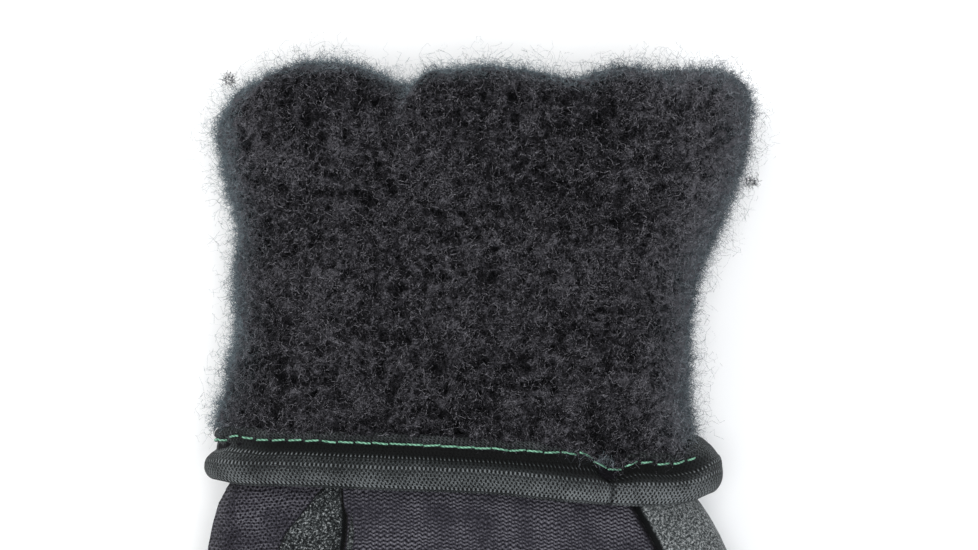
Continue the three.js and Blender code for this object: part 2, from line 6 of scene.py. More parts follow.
import bmesh
import bpy
import numpy as np
from mathutils import Matrix, Vector
from mathutils.bvhtree import BVHTree
from mathutils.kdtree import KDTree


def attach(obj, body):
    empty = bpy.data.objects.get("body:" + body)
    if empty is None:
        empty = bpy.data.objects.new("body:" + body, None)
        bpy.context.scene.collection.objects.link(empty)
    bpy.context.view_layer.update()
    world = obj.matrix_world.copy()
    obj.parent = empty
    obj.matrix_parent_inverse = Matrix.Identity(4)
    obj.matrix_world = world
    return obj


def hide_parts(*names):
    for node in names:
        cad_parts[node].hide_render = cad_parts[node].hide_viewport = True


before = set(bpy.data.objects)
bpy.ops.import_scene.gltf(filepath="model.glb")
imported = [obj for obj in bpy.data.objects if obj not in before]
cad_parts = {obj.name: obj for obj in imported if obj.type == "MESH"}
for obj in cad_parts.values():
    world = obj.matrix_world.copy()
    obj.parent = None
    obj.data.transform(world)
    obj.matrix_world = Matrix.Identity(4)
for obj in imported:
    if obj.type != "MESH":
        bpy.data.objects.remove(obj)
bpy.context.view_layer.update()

MM = 0.001
FULL_TURN = 2 * math.pi


def named(columns, rows):
    """A table: rows of values with named columns."""
    return [dict(zip(columns.split(), row)) for row in rows]


# Layers of the folded cuff. Depth is measured outwards from the middle of the fold.
PILE_OUT = 6.7  # the tips of the pile
PILE_BACK = 2.2  # the ground that it grows from
TAPE_OUT = 3.0  # the outer side of the binding
CUFF_MIDDLE = 18.6  # the height of the cuff's middle
CUFF_POWER = 2.5  # how square its section is: 2 would be an ellipse
CUFF_LEFT = -47  # the tables along the cuff run from this x
CUFF_RIGHT = 48  # to this one
LINING_END = -28.0  # how far down the lining reaches inside the wrist
HEM_DROP = 3.0  # the pile is this much thinner where it ends above the stitches
HEM_TAPER = 0.22  # and gets its full height over this share of the cuff
LOBE_RISE = 1.5  # the pile stands higher behind the lobes of the fold
LOBE_MIDDLE = 38.4  # whose mean place this is

# The cuff's left and right edge seen from above, and half of its height.
CUFF_OUTLINE = named("y left right half", [
    (-46, -54.0, 51.1, 21.3),
    (-38, -53.9, 51.0, 21.3),
    (-34, -53.0, 50.3, 20.9),
    (-30, -52.2, 46.3, 20.2),
    (-26, -50.9, 44.2, 19.8),
    (-22, -47.9, 42.6, 19.5),
    (-13, -45.0, 41.8, 19.4),
    (-3, -45.1, 42.9, 19.4),
    (1, -45.3, 43.9, 19.4),
    (8, -44.4, 47.0, 19.4),
    (19, -46.8, 51.0, 19.4),
    (30, -49.6, 53.0, 19.4),
    (41, -48.6, 52.8, 19.4),
])
# The fold at the cuff's mouth, with its three lobes and the dips between them.
FOLD_LINE = named("x y", [
    (-50, 31.6), (-47, 32.2), (-45.4, 34.8), (-43.5, 36.9), (-40.4, 37.4), (-37, 40.2), (-32, 40.6),
    (-24, 39.8), (-18.5, 37.2), (-13, 36.1), (-10.3, 38.8), (-5, 39.4), (2, 39.8), (13, 38.4),
    (20.5, 37.3), (27, 39.2), (32, 39.4), (36, 38.6), (42, 39.1), (54, 38.2),
])
# The line of stitches under the cuff, and above it, where it wanders and dives at the seam.
HEM_LINE = named("x y", [
    (-50, -31.4), (-32, -31.2), (-13, -31.9), (6, -32.6), (22, -34.2), (36, -35.0), (43, -34.4),
    (48, -32.4),
])
STITCH_LINE = named("x y", [
    (-50, -31.5), (-46, -31.5), (-44.4, -30.6), (-41, -30.7), (-37, -31.2), (-33, -31.1),
    (-23, -31.4), (-8, -31.9), (5.5, -32.6), (17, -33.3), (24.6, -34.0), (26.8, -36.1),
    (28.4, -36.8), (30.6, -36.1), (33.2, -35.1), (38.6, -35.6), (43.6, -34.7), (48, -32.4),
])
# How far the binding hangs down, as a share of its section.
DROP_SHARES = named("x share", [
    (-47, 0.86), (-41, 0.98), (-34, 1.0), (34, 1.0), (42, 1.0), (46, 1.03), (48, 1.04),
])
# How far above the stitches the pile ends: it hides the tape's upper edge beyond the seam.
PILE_EDGE = named("x above", [
    (-50, 2.4), (-42, 2.2), (-30, 1.6), (-10, 1.7), (12, 1.4), (20, 1.1), (24, 1.0), (27, 0.6),
    (31, 0.3), (38, 0.4), (44, 1.8), (48, 2.2),
])
PUCKER_X = 28.2  # where the binding's ends are joined

# The binding's section, from its upper edge outside, round below and up to the edge turned under.
BINDING_SECTION = named("depth rise", [
    (2.1, 2.2), (2.9, 1.9), (3.0, 1.0), (2.2, 0.1), (1.9, -0.9), (2.0, -1.8), (3.0, -2.9),
    (3.7, -4.2), (3.6, -5.9), (3.0, -7.3), (2.1, -8.3), (1.0, -8.6), (-0.2, -8.2), (-0.8, -7.0),
    (-0.9, -4.0), (-0.9, 0.9), (0.0, 0.9), (0.1, -4.0), (1.0, -7.0), (1.9, -5.0), (1.6, -1.0),
    (1.8, 1.6),
])

# The hand, a row for each section, and its fingers and thumb.
HAND = named("y left right z half", [
    (-25.0, -42.4, 36.2, 18.6, 11.8),
    (-28.6, -43.2, 37.2, 18.6, 11.9),
    (-36, -44.4, 40.2, 18.4, 12.2),
    (-40, -45.7, 42.0, 18.2, 12.5),
    (-43, -47.7, 43.3, 17.9, 12.9),
    (-46, -48.7, 45.7, 17.5, 13.2),
    (-52, -49.8, 48.8, 16.9, 13.5),
    (-60, -49.9, 52.4, 16.2, 13.9),
    (-72, -48.2, 56.2, 15.2, 14.2),
    (-84, -45.4, 58.4, 14.4, 14.2),
    (-97, -44.6, 59.2, 13.6, 13.7),
    (-108, -46.0, 59.0, 12.6, 12.9),
    (-114, -45.8, 58.2, 11.8, 11.2),
    (-118, -44.6, 56.8, 11.2, 8.2),
    (-120.5, -43.0, 55.2, 11.0, 3.6),
])
HAND_POWER = 2.3  # how square the sections of the hand and fingers are
FINGER_ROOT = -104
FINGER_SPLAY = 1.15  # how far along the fingers spread
FINGERS = named("name root_x tip_x tip_y wide tall", [
    ("index", -32.6, -37.4, -187, 26.6, 21.0),
    ("middle", -5.9, -6.8, -196, 27.0, 21.5),
    ("ring", 20.7, 23.6, -189, 26.4, 21.0),
    ("little", 45.9, 52.0, -171, 24.6, 19.8),
])
# The sections along every finger, as shares of its width and height, and how far they are lifted.
FINGER_SHAPE = named("along wide tall lift", [
    (0.0, 0.97, 1.08, 1.6),
    (0.25, 1.0, 1.0, 3.0),
    (0.5, 0.98, 0.97, 2.4),
    (0.75, 0.95, 0.95, 0.6),
    (1.0, 0.9, 0.92, -0.5),
])
THUMB = named("x y z wide tall", [
    (-28, -54, 15.6, 24, 20),
    (-39, -67, 14.6, 29, 22.5),
    (-50, -80.5, 13.2, 29.5, 22.5),
    (-59.5, -95, 11.8, 28.5, 21.5),
    (-66.5, -110, 10.6, 27, 21),
    (-71, -130, 9.6, 24.5, 19.8),
])
TIP_ROUND = 11  # the length of a finger's rounded tip
WRIST = -28.9  # where the hand's skin ends inside the cuff
WALL = 1.9  # the thickness of a cloth with its lining

# Seams of the hand, seen from above, and the height of the side seams.
SIDE_SEAM = named("y z", [
    (-210, 8.8), (-150, 11.2), (-110, 12.6), (-60, 16.2), (-20, 18.6),
])
PALM_SEAM_DROP = 5.2  # the strips between the fingers reach this far below the side seam
BACK_LEFT = named("x y", [
    (-24.4, -20), (-24.2, -41), (-23.5, -46), (-24.3, -53), (-27.6, -66), (-33.4, -80),
    (-37.6, -94), (-39.4, -106),
])
BACK_RIGHT = named("x y", [
    (24, -20), (28.2, -38), (31.0, -43.6), (33.6, -48), (36.2, -53), (41.6, -66), (46.6, -82),
    (50.6, -98), (52.4, -108),
])
BACK_INSET = 5.4  # the knitted back ends this far inside a finger's edge
BACK_TIP_INSET = 11  # and this far from its tip
BACK_TIP_ROUND = 0.8  # how round it is there, 1 for a half circle
BACK_SHARES = [0.27, 0.5, 0.72]  # where its edge is set along a finger
BACK_TIP_POINTS = 9
STRIP_END = 15  # the strips between the fingers end this far from the tips
THUMB_INNER = named("x y", [
    (-27.6, -20), (-27.4, -38), (-28.9, -41.2), (-31.0, -44.2), (-34.3, -48.2), (-36.2, -52),
    (-42.0, -66), (-51.6, -82), (-59.2, -97), (-64.4, -112), (-66.0, -121),
])
THUMB_OUTER = named("x y", [
    (-86, -124), (-90, -90), (-64, -60), (-60, -20),
])
THUMB_BASE = named("x y", [
    (-52.5, -46), (-46.5, -60), (-42.5, -76), (-42.0, -92), (-45.0, -104), (-54.0, -135),
])
THUMB_BASE_OUTER = named("x y", [
    (-130, -135), (-130, -46),
])


# Small sums that every piece uses.
def column(table, name):
    return np.array([row[name] for row in table], float)


def bend(cells, place):
    """A smooth curve through the cells: place 0 is the first, 1 the second and so on."""
    last = len(cells) - 1
    i = np.clip(np.floor(place).astype(int), 0, last - 1)
    f = place - i
    a = cells[np.maximum(i - 1, 0)]
    b = cells[i]
    c = cells[i + 1]
    d = cells[np.minimum(i + 2, last)]
    curve = (2 * a - 5 * b + 4 * c - d) * f**2 + (3 * b - a - 3 * c + d) * f**3
    return b + 0.5 * ((c - a) * f + curve)


def follow(table, by, name, value):
    """The named column of a table at the place where its column `by` has this value."""
    keys = column(table, by)
    cells = column(table, name)
    if keys[-1] < keys[0]:
        keys = keys[::-1]
        cells = cells[::-1]
    value = np.asarray(value, float)
    i = np.clip(np.searchsorted(keys, value, side="right") - 1, 0, len(keys) - 2)
    f = np.clip((value - keys[i]) / (keys[i + 1] - keys[i]), 0, 1)
    return bend(cells, i + f)


def mix(a, b, f):
    return a + (b - a) * f


def smooth(low, high, value):
    f = np.clip((np.asarray(value, float) - low) / (high - low), 0, 1)
    return f * f * (3 - 2 * f)


def power(value, n):
    return np.sign(value) * np.abs(value) ** (2 / n)


def unit(vectors):
    length = np.linalg.norm(vectors, axis=-1, keepdims=True)
    return vectors / np.maximum(length, 1e-9)


def scatter(cells, seed):
    """A repeatable number from 0 to 1 for each whole-number cell."""
    keep = np.uint64(0xFFFFFFFF)
    whole = cells.astype(np.int64).astype(np.uint64)
    n = whole[..., 0] * np.uint64(374761393) + whole[..., 1] * np.uint64(668265263)
    n = (n + whole[..., 2] * np.uint64(2246822519) + np.uint64(seed * 3266489917)) & keep
    n = ((n ^ (n >> np.uint64(13))) * np.uint64(1274126177)) & keep
    n = n ^ (n >> np.uint64(16))
    return n.astype(float) / 2**32


def cloud(points, size, seed):
    """Smooth noise from 0 to 1, with lumps of about this size."""
    place = points / size
    low = np.floor(place)
    f = place - low
    f = f * f * (3 - 2 * f)
    total = 0
    for corner in np.ndindex(2, 2, 2):
        share = np.prod(np.where(np.array(corner) == 1, f, 1 - f), axis=-1)
        total = total + share * scatter(low + np.array(corner), seed)
    return total


def tufts(points, size, seed):
    """Distance to the nearest of a scatter of tuft middles, in tuft sizes."""
    place = points / size
    low = np.floor(place)
    nearest = np.full(len(points), 9.0)
    for step in np.ndindex(3, 3, 3):
        cell = low + np.array(step) - 1
        middle = np.stack([scatter(cell, seed + k) for k in range(3)], axis=-1)
        nearest = np.minimum(nearest, np.linalg.norm(cell + middle - place, axis=-1))
    return nearest


# Meshes from arrays of points in millimetres.
def grid_normals(grid):
    """Outward normals of a grid that closes on itself both ways."""
    along = np.roll(grid, -1, axis=0) - np.roll(grid, 1, axis=0)
    across = np.roll(grid, -1, axis=1) - np.roll(grid, 1, axis=1)
    return unit(np.cross(along, across))


def grid_faces(rows, columns):
    j, i = np.meshgrid(np.arange(rows), np.arange(columns), indexing="ij")
    after = (i + 1) % columns
    below = (j + 1) % rows
    corners = [j * columns + i, j * columns + after, below * columns + after, below * columns + i]
    return np.stack(corners, axis=-1).reshape(-1, 4)


def points_in(points, faces):
    """True where the faces of four corners of a closed mesh point in."""
    a, b, c, d = (points[faces[:, k]] for k in range(4))
    volume = np.einsum("ij,ij->", a, np.cross(b, c)) + np.einsum("ij,ij->", a, np.cross(c, d))
    return volume < 0


def new_object(name, data):
    thing = bpy.data.objects.new(name, data)
    bpy.context.scene.collection.objects.link(thing)
    return thing


def make_piece(name, points, faces, material):
    """A smooth-shaded mesh object."""
    mesh = bpy.data.meshes.new(name)
    mesh.from_pydata((points * MM).tolist(), [], faces)
    mesh.polygons.foreach_set("use_smooth", np.ones(len(faces), bool))
    mesh.materials.append(material)
    mesh.update()
    return new_object(name, mesh)


def store(piece, name, values):
    """Keeps one number for each point of a piece's mesh, for its material and its nodes."""
    layer = piece.data.attributes.new(name, "FLOAT", "POINT")
    layer.data.foreach_set("value", np.asarray(values, np.float32))


def plain_mesh(piece):
    """Turns a piece with its modifiers into a plain mesh."""
    seen = piece.evaluated_get(bpy.context.evaluated_depsgraph_get())
    mesh = bpy.data.meshes.new_from_object(seen)
    old = piece.data
    piece.modifiers.clear()
    piece.data = mesh
    bpy.data.meshes.remove(old)
    return piece


# Nodes. A material's tree and a geometry tree are both built with these.
def linear(code):
    """An sRGB hex colour as the linear colour that a shader takes."""
    parts = [((code >> shift) & 255) / 255 for shift in (16, 8, 0)]
    return [p / 12.92 if p <= 0.04045 else ((p + 0.055) / 1.055) ** 2.4 for p in parts] + [1]


def add(tree, kind, inputs=None, ramp=None, **settings):
    """Adds a node with its settings. An input takes a value, a socket, or a node's first output."""
    node = tree.nodes.new(kind)
    for key, value in settings.items():
        setattr(node, key, value)
    for key, value in (inputs or {}).items():
        if isinstance(value, bpy.types.Node):
            value = value.outputs[0]
        if isinstance(value, bpy.types.NodeSocket):
            tree.links.new(value, node.inputs[key])
        else:
            node.inputs[key].default_value = value
    if ramp:
        while len(node.color_ramp.elements) < len(ramp):
            node.color_ramp.elements.new(1.0)
        for element, (place, code) in zip(node.color_ramp.elements, ramp):
            element.position = place
            element.color = linear(code)
    return node


def new_material(name):
    material = bpy.data.materials.new(name)
    material.use_nodes = True
    material.node_tree.nodes.clear()
    return material, material.node_tree


def finish_material(material, tree, shader, height=None, rise=0.0):
    """Ends a material in one Principled shader, with bump from a height field if it has one."""
    inputs = dict(shader)
    if height is not None:
        bump = {"Height": height, "Distance": rise, "Strength": 1.0}
        inputs["Normal"] = add(tree, "ShaderNodeBump", bump)
    surface = add(tree, "ShaderNodeBsdfPrincipled", inputs)
    add(tree, "ShaderNodeOutputMaterial", {"Surface": surface})
    return material


# Acrylic pile fleece: a knitted ground, brushed until its fibres stand up and mat into curls. It
# scatters light softly. Its colour carries painted shade, nearly black down between the tufts, and
# a painted highlight that makes it a little paler at its rim.
PILE_DEEP = 0x040405
PILE_MEAN = 0x28272B
PILE_TIP = 0x67666C
PILE_SHEEN = 0x8E949A
FIBRE_MARK = 0.48  # mm, one bend of a fibre
CLUMP_MARK = 1.5  # mm, a clump of them
PATCH_MARK = 14  # mm, a patch where the pile is brushed more
PILE_DARKER = 1.275  # brings the sum of its marks down to the middle of its colours


def pile_fleece():
    material, tree = new_material("acrylic_pile_fleece")
    place = add(tree, "ShaderNodeTexCoord").outputs["Object"]
    tone_and_shade = add(tree, "ShaderNodeAttribute", attribute_name="tone_and_shade").outputs["Fac"]
    rim = add(tree, "ShaderNodeAttribute", attribute_name="rim").outputs["Fac"]
    bends = {
        "Vector": place,
        "Scale": 1 / (FIBRE_MARK * MM),
        "Detail": 2.0,
        "Roughness": 0.75,
        "Lacunarity": 2.3,
        "Offset": 0.9,
        "Gain": 2.5,
        "Distortion": 0.8,
    }
    curls = add(tree, "ShaderNodeTexNoise", bends, noise_type="RIDGED_MULTIFRACTAL")
    groups = {"Vector": place, "Scale": 1 / (CLUMP_MARK * MM), "Detail": 2.0, "Distortion": 1.5}
    clumps = add(tree, "ShaderNodeTexNoise", groups)
    brushed = {"Vector": place, "Scale": 1 / (PATCH_MARK * MM), "Detail": 1.0}
    patches = add(tree, "ShaderNodeTexNoise", brushed)
    capped = add(tree, "ShaderNodeMath", {0: curls, 1: 2.5}, operation="MINIMUM")
    marks = add(tree, "ShaderNodeMath", {0: capped, 1: 0.5}, operation="MULTIPLY")
    paler = marks
    # painted shade and light: the loft darkens the pits and creases and pales the sides, and the rim
    # adds a painted rim highlight
    for field, share in ((tone_and_shade, 0.95), (clumps, 1.0), (patches, 0.15), (rim, 0.34)):
        paler = add(tree, "ShaderNodeMath", {0: field, 1: share, 2: paler}, operation="MULTIPLY_ADD")
    tone = add(tree, "ShaderNodeMath", {0: paler, 1: PILE_DARKER}, operation="SUBTRACT")
    steps = [(0.2, PILE_DEEP), (0.5, PILE_MEAN), (0.88, PILE_TIP)]
    shader = {
        "Base Color": add(tree, "ShaderNodeValToRGB", {"Fac": tone}, ramp=steps),
        "Roughness": 0.95,
        "IOR": 1.49,
        "Specular IOR Level": 0.05,
        "Sheen Weight": 0.06,
        "Sheen Roughness": 0.3,
        "Sheen Tint": linear(PILE_SHEEN),
    }
    return finish_material(material, tree, shader, marks, 0.5 * MM)


# The same acrylic as single fibres, crimped when they were spun. Its colour carries painted
# highlights: a pale speck on each bend that would face the light and a dark one on the next, so a
# fibre is seen as a row of specks. It also carries painted shade deep in the pile and a painted
# rim highlight.
FIBRE_DARK = 0x0C0B0E
FIBRE_MEAN = 0x2E2D31
FIBRE_LIGHT = 0x7F7E84
# colours of the painted rim highlight, which also give the pale lint its own colour
FIBRE_RIM_DARK = 0x39424A
FIBRE_RIM = 0x89989E
GLINT_MARK = 0.34  # mm, half a crimp


def loose_fibre():
    material, tree = new_material("acrylic_fibre")
    place = add(tree, "ShaderNodeTexCoord").outputs["Object"]
    shade = add(tree, "ShaderNodeAttribute", attribute_name="shade").outputs["Fac"]
    rim = add(tree, "ShaderNodeAttribute", attribute_name="rim").outputs["Fac"]
    tone_and_shade = add(tree, "ShaderNodeAttribute", attribute_name="tone_and_shade").outputs["Fac"]
    bends = {"Vector": place, "Scale": 1 / (GLINT_MARK * MM), "Detail": 1.0, "Roughness": 0.6}
    # painted glints along each fibre
    painted_glints = add(tree, "ShaderNodeTexNoise", bends)
    span = {"Value": painted_glints, "From Min": 0.35, "From Max": 0.68, "To Min": 0.3, "To Max": 1.5}
    glint_specks = add(tree, "ShaderNodeMapRange", span)
    # painted shade: a fibre rooted deep in the pile is darker; lint takes its own paleness here
    high = add(tree, "ShaderNodeMath", {0: tone_and_shade, 1: 0.8, 2: 0.5}, operation="MULTIPLY_ADD")
    lit = add(tree, "ShaderNodeMath", {0: shade, 1: high}, operation="MULTIPLY")
    tone = add(tree, "ShaderNodeMath", {0: lit, 1: glint_specks}, operation="MULTIPLY")
    steps = [(0.0, FIBRE_DARK), (0.55, FIBRE_MEAN), (1.0, FIBRE_LIGHT)]
    inner = add(tree, "ShaderNodeValToRGB", {"Fac": tone}, ramp=steps)
    steps = [(0.0, FIBRE_RIM_DARK), (1.0, FIBRE_RIM)]
    outer = add(tree, "ShaderNodeValToRGB", {"Fac": shade}, ramp=steps)
    edge = add(tree, "ShaderNodeMath", {0: rim, 1: 0.8}, operation="MULTIPLY", use_clamp=True)
    mixed = add(tree, "ShaderNodeMix", {0: edge, 6: inner, 7: outer}, data_type="RGBA")
    shader = {
        "Base Color": mixed.outputs[2],
        "Roughness": 0.6,
        "IOR": 1.49,
        "Specular IOR Level": 0.12,
    }
    return finish_material(material, tree, shader)


# Warp-knitted elastic tape: textured nylon over rubber. Its loops close into a grey net with small
# dark slots in offset rows, and a few rows of taller loops stand out as lines of dots.
TAPE_DEEP = 0x090A0A
TAPE_MEAN = 0x272A2B
TAPE_LOOP = 0x7A7F81
TAPE_WALE = 0.78  # mm between loops along the tape
TAPE_COURSE = 1.26  # mm between rows of slots, with one between them
TAPE_SLANT = 0.12  # how much its loops lean
TAPE_SWAY = 2  # mm, over which its loops wander
TAPE_SWAY_ALONG = 0.6  # mm, how far
TAPE_SWAY_ACROSS = 0.7
TAPE_GRAIN = 0.22  # mm, its textured yarn
TAPE_PATCH = 5  # mm, a patch that is worn paler
TAPE_DARKER = 0.97  # taken off the sum of its tones
TAPE_SHADED = 0.68  # how much darker the tape is where its gloom is 1


def elastic_tape():
    material, tree = new_material("knitted_elastic_tape")
    weave = add(tree, "ShaderNodeUVMap", uv_map="weave").outputs["UV"]
    # painted shade in the tape's groove and crease, and painted light on its roll
    painted_shading = add(tree, "ShaderNodeAttribute", attribute_name="painted_shading").outputs["Fac"]
    rib = add(tree, "ShaderNodeAttribute", attribute_name="rib").outputs["Fac"]
    parts = add(tree, "ShaderNodeSeparateXYZ", {"Vector": weave})
    across, up = parts.outputs["X"], parts.outputs["Y"]
    uneven = {"Vector": weave, "Scale": 1 / TAPE_SWAY, "Detail": 2.5, "Roughness": 0.6}
    wander = add(tree, "ShaderNodeTexNoise", uneven)
    slant = add(tree, "ShaderNodeMath", {0: up, 1: TAPE_SLANT, 2: across}, operation="MULTIPLY_ADD")
    sway = {0: wander, 1: TAPE_SWAY_ALONG, 2: slant}
    u = add(tree, "ShaderNodeMath", sway, operation="MULTIPLY_ADD")
    sway = {0: wander, 1: TAPE_SWAY_ACROSS, 2: up}
    v = add(tree, "ShaderNodeMath", sway, operation="MULTIPLY_ADD")
    u_turn = add(tree, "ShaderNodeMath", {0: u, 1: FULL_TURN / TAPE_WALE}, operation="MULTIPLY")
    v_turn = add(tree, "ShaderNodeMath", {0: v, 1: FULL_TURN / TAPE_COURSE}, operation="MULTIPLY")
    wale = add(tree, "ShaderNodeMath", {0: u_turn}, operation="COSINE")
    course = add(tree, "ShaderNodeMath", {0: v_turn}, operation="COSINE")
    checks = add(tree, "ShaderNodeMath", {0: wale, 1: course}, operation="MULTIPLY")
    span = {"Value": checks, "From Min": -0.85, "From Max": 0.1, "To Min": 0.0, "To Max": 0.62}
    net = add(tree, "ShaderNodeMapRange", span, interpolation_type="SMOOTHSTEP")
    grain = {"Vector": weave, "Scale": 1 / TAPE_GRAIN, "Detail": 2.0, "Roughness": 0.7}
    fuzz = add(tree, "ShaderNodeTexNoise", grain)
    patches = add(tree, "ShaderNodeTexNoise", {"Vector": weave, "Scale": 1 / TAPE_PATCH, "Detail": 2.0})
    height = add(tree, "ShaderNodeMath", {0: fuzz, 1: 1.5, 2: net}, operation="MULTIPLY_ADD")
    worn = add(tree, "ShaderNodeMath", {0: patches, 1: 0.5, 2: height}, operation="MULTIPLY_ADD")
    bare = add(tree, "ShaderNodeMath", {0: worn, 1: TAPE_DARKER}, operation="SUBTRACT")
    # painted shade: the tape is darker where its shading is high, and paler where it is below 0
    shade = add(tree, "ShaderNodeMath", {0: painted_shading, 1: -TAPE_SHADED, 2: 1.0}, operation="MULTIPLY_ADD")
    shaded = add(tree, "ShaderNodeMath", {0: bare, 1: shade}, operation="MULTIPLY")
    span = {"Value": wale, "From Min": -0.1, "From Max": 0.8, "To Min": -0.35, "To Max": 0.7}
    dots = add(tree, "ShaderNodeMapRange", span)
    tone = add(tree, "ShaderNodeMath", {0: dots, 1: rib, 2: shaded}, operation="MULTIPLY_ADD")
    steps = [(0.0, TAPE_DEEP), (0.5, TAPE_MEAN), (1.0, TAPE_LOOP)]
    shader = {
        "Base Color": add(tree, "ShaderNodeValToRGB", {"Fac": tone}, ramp=steps),
        "Roughness": 0.7,
        "IOR": 1.53,
        "Specular IOR Level": 0.1,
    }
    return finish_material(material, tree, shader, height, 0.16 * MM)


def in_seams(tree, tone):
    """Takes a cloth's tone down towards its seams, where it is pulled under and in shade."""
    seam = add(tree, "ShaderNodeAttribute", attribute_name="seam").outputs["Fac"]
    span = {"Value": seam, "From Min": 0.3, "From Max": 1.2, "To Min": 0.2, "To Max": 1.0}
    away = add(tree, "ShaderNodeMapRange", span, interpolation_type="SMOOTHSTEP")
    return add(tree, "ShaderNodeMath", {0: tone, 1: away}, operation="MULTIPLY")


# Circular-knitted stretch jersey of dark purple and black yarn, worn right side out: rows of small
# V-shaped loops with holes between them, and a soft violet bloom.
KNIT_DEEP = 0x0A090D
KNIT_MEAN = 0x2D2C33
KNIT_LOOP = 0x69686F
KNITS = {
    # Stretched over the back, whose rows bow down towards the little finger.
    "back": {
        "name": "stretch_jersey",
        "turn": 0,  # degrees
        "wale": 1.32,  # mm between columns of loops
        "course": 0.75,  # mm between rows
        "vee": 0.57,  # how steep the loops' V's are
        "slots": 2,  # holes across a column
        "rows": 0.26,  # how plainly the rows show
        "holes": 0.14,  # and the holes
        "lines": 0,  # and the dark lines through the holes
        "fuzz": 1.1,  # and the fuzz of the yarn
        "bow": 2.3,  # how fast the rows bow, each metre
    },
    # Pulled wide over the thumb, which opens its holes.
    "thumb": {
        "name": "stretch_jersey_of_the_thumb",
        "turn": -6,
        "wale": 0.96,
        "course": 1.24,
        "vee": 0.1,
        "slots": 1,
        "rows": 0.06,
        "holes": 0.25,
        "lines": -0.22,
        "fuzz": 1.6,
        "bow": 0,
    },
}
KNIT_STRAIGHT_X = -20  # mm, where the back's rows run straight across
KNIT_EVEN = 0.5  # the tone of the knit where its loops are worn flat
KNIT_SWAY = 4  # mm, over which its loops wander
KNIT_SWAY_ACROSS = 0.8  # mm, how far
KNIT_SWAY_ALONG = 1.6
KNIT_GRAIN = 0.32  # mm, its yarn
KNIT_PATCH = 6  # mm, a patch where the loops are clear or worn flat
KNIT_DARKER = 0.21  # taken off its tone, beside what evens out its fuzz and holes


def stretch_jersey(knit):
    wale_size = knit["wale"] * MM
    course_size = knit["course"] * MM
    material, tree = new_material(knit["name"])
    place = add(tree, "ShaderNodeTexCoord").outputs["Object"]
    turned = {"Vector": place, "Angle": math.radians(knit["turn"])}
    turned = add(tree, "ShaderNodeVectorRotate", turned, rotation_type="Z_AXIS")
    parts = add(tree, "ShaderNodeSeparateXYZ", {"Vector": turned})
    across, up = parts.outputs["X"], parts.outputs["Y"]
    uneven = {"Vector": place, "Scale": 1 / (KNIT_SWAY * MM), "Detail": 3.0, "Roughness": 0.62}
    wander = add(tree, "ShaderNodeTexNoise", uneven)
    away = add(tree, "ShaderNodeMath", {0: across, 1: KNIT_STRAIGHT_X * MM}, operation="SUBTRACT")
    bowed = add(tree, "ShaderNodeMath", {0: away, 1: away}, operation="MULTIPLY")
    level = add(tree, "ShaderNodeMath", {0: bowed, 1: knit["bow"], 2: up}, operation="MULTIPLY_ADD")
    sway = {0: wander, 1: KNIT_SWAY_ACROSS * MM, 2: across}
    x = add(tree, "ShaderNodeMath", sway, operation="MULTIPLY_ADD")
    sway = {0: wander, 1: KNIT_SWAY_ALONG * MM, 2: level}
    y = add(tree, "ShaderNodeMath", sway, operation="MULTIPLY_ADD")
    point = add(tree, "ShaderNodeMath", {0: x, 1: wale_size / 2}, operation="PINGPONG")
    row = add(tree, "ShaderNodeMath", {0: point, 1: knit["vee"], 2: y}, operation="MULTIPLY_ADD")
    y_turn = add(tree, "ShaderNodeMath", {0: row, 1: FULL_TURN / course_size}, operation="MULTIPLY")
    often = knit["slots"] * FULL_TURN / wale_size
    x_turn = add(tree, "ShaderNodeMath", {0: x, 1: often}, operation="MULTIPLY")
    course = add(tree, "ShaderNodeMath", {0: y_turn}, operation="COSINE")
    wale = add(tree, "ShaderNodeMath", {0: x_turn}, operation="COSINE")
    checks = add(tree, "ShaderNodeMath", {0: course, 1: wale}, operation="MULTIPLY")
    span = {"Value": checks, "From Min": -0.9, "From Max": 0.2, "To Min": -1.3, "To Max": 0.5}
    holes = add(tree, "ShaderNodeMapRange", span, interpolation_type="SMOOTHSTEP")
    twice = add(tree, "ShaderNodeMath", {0: course, 1: course, 2: -0.5}, operation="MULTIPLY_ADD")
    lines = {0: twice, 1: knit["lines"], 2: KNIT_EVEN}
    lines = add(tree, "ShaderNodeMath", lines, operation="MULTIPLY_ADD")
    rows = {0: course, 1: knit["rows"], 2: lines}
    rows = add(tree, "ShaderNodeMath", rows, operation="MULTIPLY_ADD")
    loops = {0: holes, 1: knit["holes"], 2: rows}
    loops = add(tree, "ShaderNodeMath", loops, operation="MULTIPLY_ADD")
    grain = {"Vector": place, "Scale": 1 / (KNIT_GRAIN * MM), "Detail": 3.0, "Roughness": 0.65}
    fuzz = add(tree, "ShaderNodeTexNoise", grain)
    broad = {"Vector": place, "Scale": 1 / (KNIT_PATCH * MM), "Detail": 3.0}
    patches = add(tree, "ShaderNodeTexNoise", broad)
    span = {"Value": patches, "From Min": 0.38, "From Max": 0.6, "To Min": 0.6, "To Max": 1.3}
    clear = add(tree, "ShaderNodeMapRange", span)
    seen = add(tree, "ShaderNodeMix", {0: clear, 2: KNIT_EVEN, 3: loops}, clamp_factor=False)
    height = {0: fuzz, 1: knit["fuzz"], 2: seen}
    height = add(tree, "ShaderNodeMath", height, operation="MULTIPLY_ADD")
    worn = add(tree, "ShaderNodeMath", {0: patches, 1: 0.5, 2: height}, operation="MULTIPLY_ADD")
    shade = KNIT_DARKER + 0.5 * knit["fuzz"] + 0.3 * knit["holes"]
    tone = add(tree, "ShaderNodeMath", {0: worn, 1: shade}, operation="SUBTRACT")
    steps = [(0.1, KNIT_DEEP), (0.5, KNIT_MEAN), (1.0, KNIT_LOOP)]
    shader = {
        "Base Color": add(tree, "ShaderNodeValToRGB", {"Fac": in_seams(tree, tone)}, ramp=steps),
        "Roughness": 0.85,
        "IOR": 1.53,
        "Specular IOR Level": 0.08,
        "Sheen Weight": 0.04,
        "Sheen Roughness": 0.4,
    }
    return finish_material(material, tree, shader, height, 0.14 * MM)
